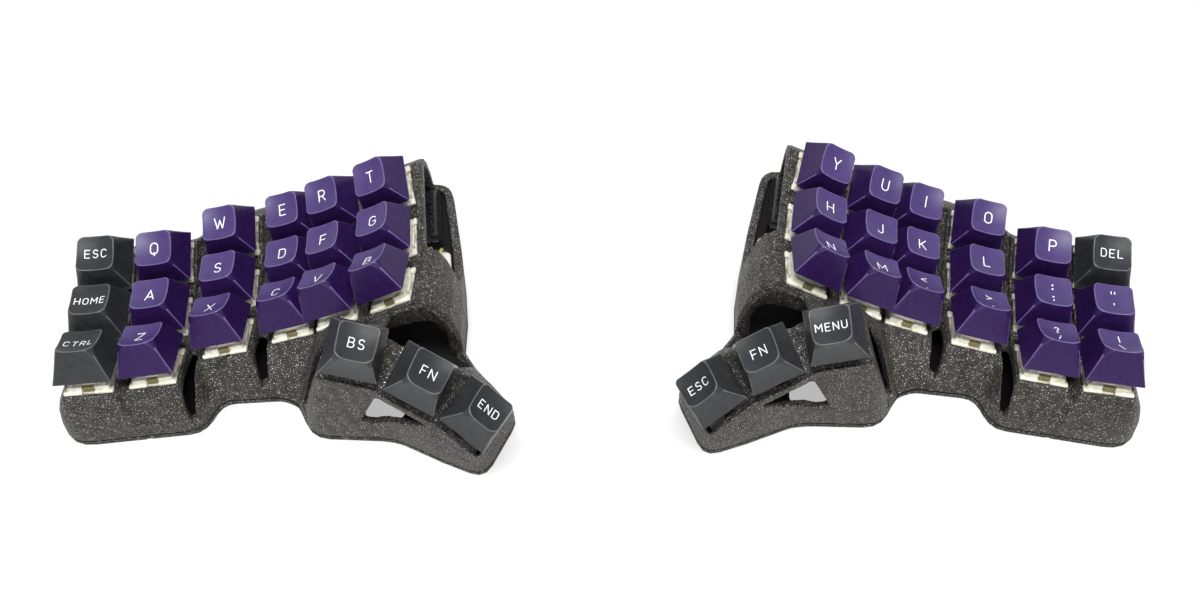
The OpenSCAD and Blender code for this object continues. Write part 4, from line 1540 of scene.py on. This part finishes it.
@dataclass
class Wiring:
    """Short jumper wires bowed over the base plate by the side windows."""

    wires: Tuple[Tuple[float, float, float, float], ...] = (
        (-60.6, 9.6, 10, 96), (-57.6, 10, 11, 84), (-54.2, 9.4, 9, 98), (-50.6, 9.8, 10, 86))
    low: float = 2.95
    thick: float = 1.1
    steps: int = 24

    def bow(self, half: HalfPlace, x: float, y: float, width: float, angle: float) -> List[Vector]:
        """Half circle that one wire follows.

        Args:
            half: Half that it lies in.
            x: Middle across, in the right half.
            y: Middle along.
            width: Width of the bow.
            angle: Turn of the bow in degrees.

        Returns:
            Points in metres.
        """
        c, s = math.cos(math.radians(angle)), math.sin(math.radians(angle))
        points = []
        for i in range(self.steps + 1):
            a = math.pi * i / self.steps
            along, up = width / 2 * math.cos(a), width / 2 * math.sin(a)
            points.append(half.point(x + along * c, y + along * s, self.low + up))
        return points

    def build(self) -> None:
        """Sweep the wires along their bows."""
        points, edges = [], []
        for half in HALVES:
            for wire in self.wires:
                first = len(points)
                points += self.bow(half, *wire)
                edges += [(first + i, first + i + 1) for i in range(self.steps)]
        mesh = bpy.data.meshes.new("wire_paths")
        mesh.from_pydata([tuple(p) for p in points], edges, [])
        paths = bpy.data.objects.new("wire_paths", mesh)
        bpy.context.scene.collection.objects.link(paths)
        modifier = paths.modifiers.new("sweep", "NODES")
        modifier.node_group = wire_tree("sweep")
        set_inputs(modifier, {"Radius": self.thick / 2 * MM, "Finish": PALETTE.of(WIRE)})
        made = settled(paths, "jumper_wire_set", SHARP_WIRE)
        finish_piece(made, FRAME_BODY, "wire", "jumper_wires")


@dataclass
class InnerParts:
    """Nodes whose solids are already right and only take a finish."""

    finishes: Dict[str, object] = field(default_factory=lambda: {
        "left_base_plate": SHADED_BASE_PRINT, "right_base_plate": SHADED_BASE_PRINT, "controller_trays": DARK_SHADED_PRINT,
        "left_controller_board": LACQUER, "right_controller_board": LACQUER, "switch_boards": LACQUER,
        "cable_sockets": STEEL, "link_jacks": BLACK, "threaded_inserts": BRASS,
    })

    def dress(self) -> None:
        """Give each node its finish."""
        for node, finish in self.finishes.items():
            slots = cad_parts[node].data.materials
            slots.clear()
            slots.append(PALETTE.of(finish))
            LOG.info("%s keeps its solid in %s", node, finish.name)


# Studio


@dataclass(frozen=True)
class Lamp:
    """A soft lamp that faces the keyboard, in metres and watts."""

    name: str
    at: Triple
    size: Point
    watts: float

    def build(self) -> None:
        """Set up the lamp."""
        light = bpy.data.lights.new(self.name, "AREA")
        light.shape, light.energy = "RECTANGLE", self.watts
        light.size, light.size_y = self.size
        lamp = bpy.data.objects.new(self.name, light)
        bpy.context.scene.collection.objects.link(lamp)
        lamp.location = self.at
        lamp.rotation_euler = (-Vector(self.at)).to_track_quat("-Z", "Y").to_euler()


@dataclass
class Studio:
    """White floor, soft lamps and the camera."""

    eye: Triple = (-1.1, -201.5, 331.42)
    pitch: float = 57.69
    roll: float = 1.22
    focal: float = 1055.3
    image_w: int = 1200
    sensor: float = 36
    clip: float = 0.01
    floor_size: float = 4.0
    shadow: float = 0.6
    glow: float = 1.2
    bounce: float = 0.8
    near: float = 0.35
    far: float = 0.9
    fill: float = 0.03
    lamps: Tuple[Lamp, ...] = (
        Lamp("rear", (0.0, 0.9, 0.8), (0.9, 0.6), 3),
        Lamp("overhead", (0.0, -0.18, 1.2), (0.8, 0.35), 19),
        Lamp("front", (0.0, -1.15, 0.7), (1.0, 0.5), 7),
    )

    @staticmethod
    def shown(tree: bpy.types.NodeTree) -> Socket:
        """Tell the rays that show the background: from the camera, off a gloss or through clear stuff.

        Args:
            tree: Nodes of the floor or the world.

        Returns:
            One for such a ray, or else nought.
        """
        rays = tree.nodes.new("ShaderNodeLightPath")
        found = rays.outputs["Is Camera Ray"]
        for kind in ("Is Glossy Ray", "Is Transmission Ray"):
            either = tree.nodes.new("ShaderNodeMath")
            either.operation = "MAXIMUM"
            tree.links.new(found, either.inputs[0])
            tree.links.new(rays.outputs[kind], either.inputs[1])
            found = either.outputs[0]
        return found

    def floor(self) -> None:
        """Pale floor that shows white and keeps a faint shadow, which fades out away from the object."""
        s = self.floor_size / 2
        corners = np.array([(-s, -s, 0), (s, -s, 0), (s, s, 0), (-s, s, 0)])
        made = piece("floor", corners, [(0, 1, 2, 3)], False)
        material = bpy.data.materials.new("white_floor")
        material.use_nodes = True
        tree = material.node_tree
        tree.nodes.clear()
        add, link = tree.nodes.new, tree.links.new
        out, mix = add("ShaderNodeOutputMaterial"), add("ShaderNodeMixShader")
        glow, matt = add("ShaderNodeEmission"), add("ShaderNodeBsdfDiffuse")
        where, away = add("ShaderNodeTexCoord"), add("ShaderNodeVectorMath")
        fade, share = add("ShaderNodeMapRange"), add("ShaderNodeMath")
        away.operation, share.operation = "LENGTH", "MULTIPLY"
        for number, value in enumerate((self.near, self.far, 1 - self.shadow, 1.0), start=1):
            fade.inputs[number].default_value = value
        glow.inputs["Strength"].default_value = self.glow
        matt.inputs["Color"].default_value = (self.bounce, self.bounce, self.bounce, 1)
        link(where.outputs["Object"], away.inputs[0])
        link(away.outputs["Value"], fade.inputs[0])
        link(self.shown(tree), share.inputs[0])
        link(fade.outputs[0], share.inputs[1])
        link(share.outputs[0], mix.inputs[0])
        link(matt.outputs[0], mix.inputs[1])
        link(glow.outputs[0], mix.inputs[2])
        link(mix.outputs[0], out.inputs["Surface"])
        made.data.materials.append(material)

    def world(self) -> None:
        """Even light from all round, white to the camera."""
        world = bpy.data.worlds.new("studio")
        bpy.context.scene.world = world
        world.use_nodes = True
        tree = world.node_tree
        ground = tree.nodes["Background"]
        span = tree.nodes.new("ShaderNodeMapRange")
        span.inputs[3].default_value = self.fill
        span.inputs[4].default_value = 1.0
        tree.links.new(self.shown(tree), span.inputs[0])
        tree.links.new(span.outputs[0], ground.inputs["Strength"])
        ground.inputs["Color"].default_value = (1, 1, 1, 1)

    def camera(self) -> None:
        """Camera at the photograph's place and angle."""
        data = bpy.data.cameras.new("camera")
        data.sensor_fit, data.sensor_width = "HORIZONTAL", self.sensor
        data.lens = self.focal / self.image_w * self.sensor
        data.clip_start = self.clip
        camera = bpy.data.objects.new("camera", data)
        bpy.context.scene.collection.objects.link(camera)
        camera.matrix_world = (Matrix.Translation(Vector(self.eye) * MM) @ turn("X", 90 - self.pitch)
                               @ turn("Z", -self.roll))
        bpy.context.scene.camera = camera

    def build(self) -> None:
        """Set up floor, light and camera."""
        bpy.context.scene.view_settings.view_transform = "Standard"
        self.floor()
        self.world()
        for lamp in self.lamps:
            lamp.build()
        self.camera()


def main() -> None:
    """Build the keyboard's pieces in order, then the studio."""
    logging.basicConfig(level=logging.INFO, format="%(message)s")
    for half in HALVES:
        Case(half).build()
        SwitchBank(half).build()
    for key in KEYS:
        Keycap(key).build()
    Underside().build()
    Wiring().build()
    InnerParts().dress()
    Studio().build()


if __name__ == "__main__":
    main()
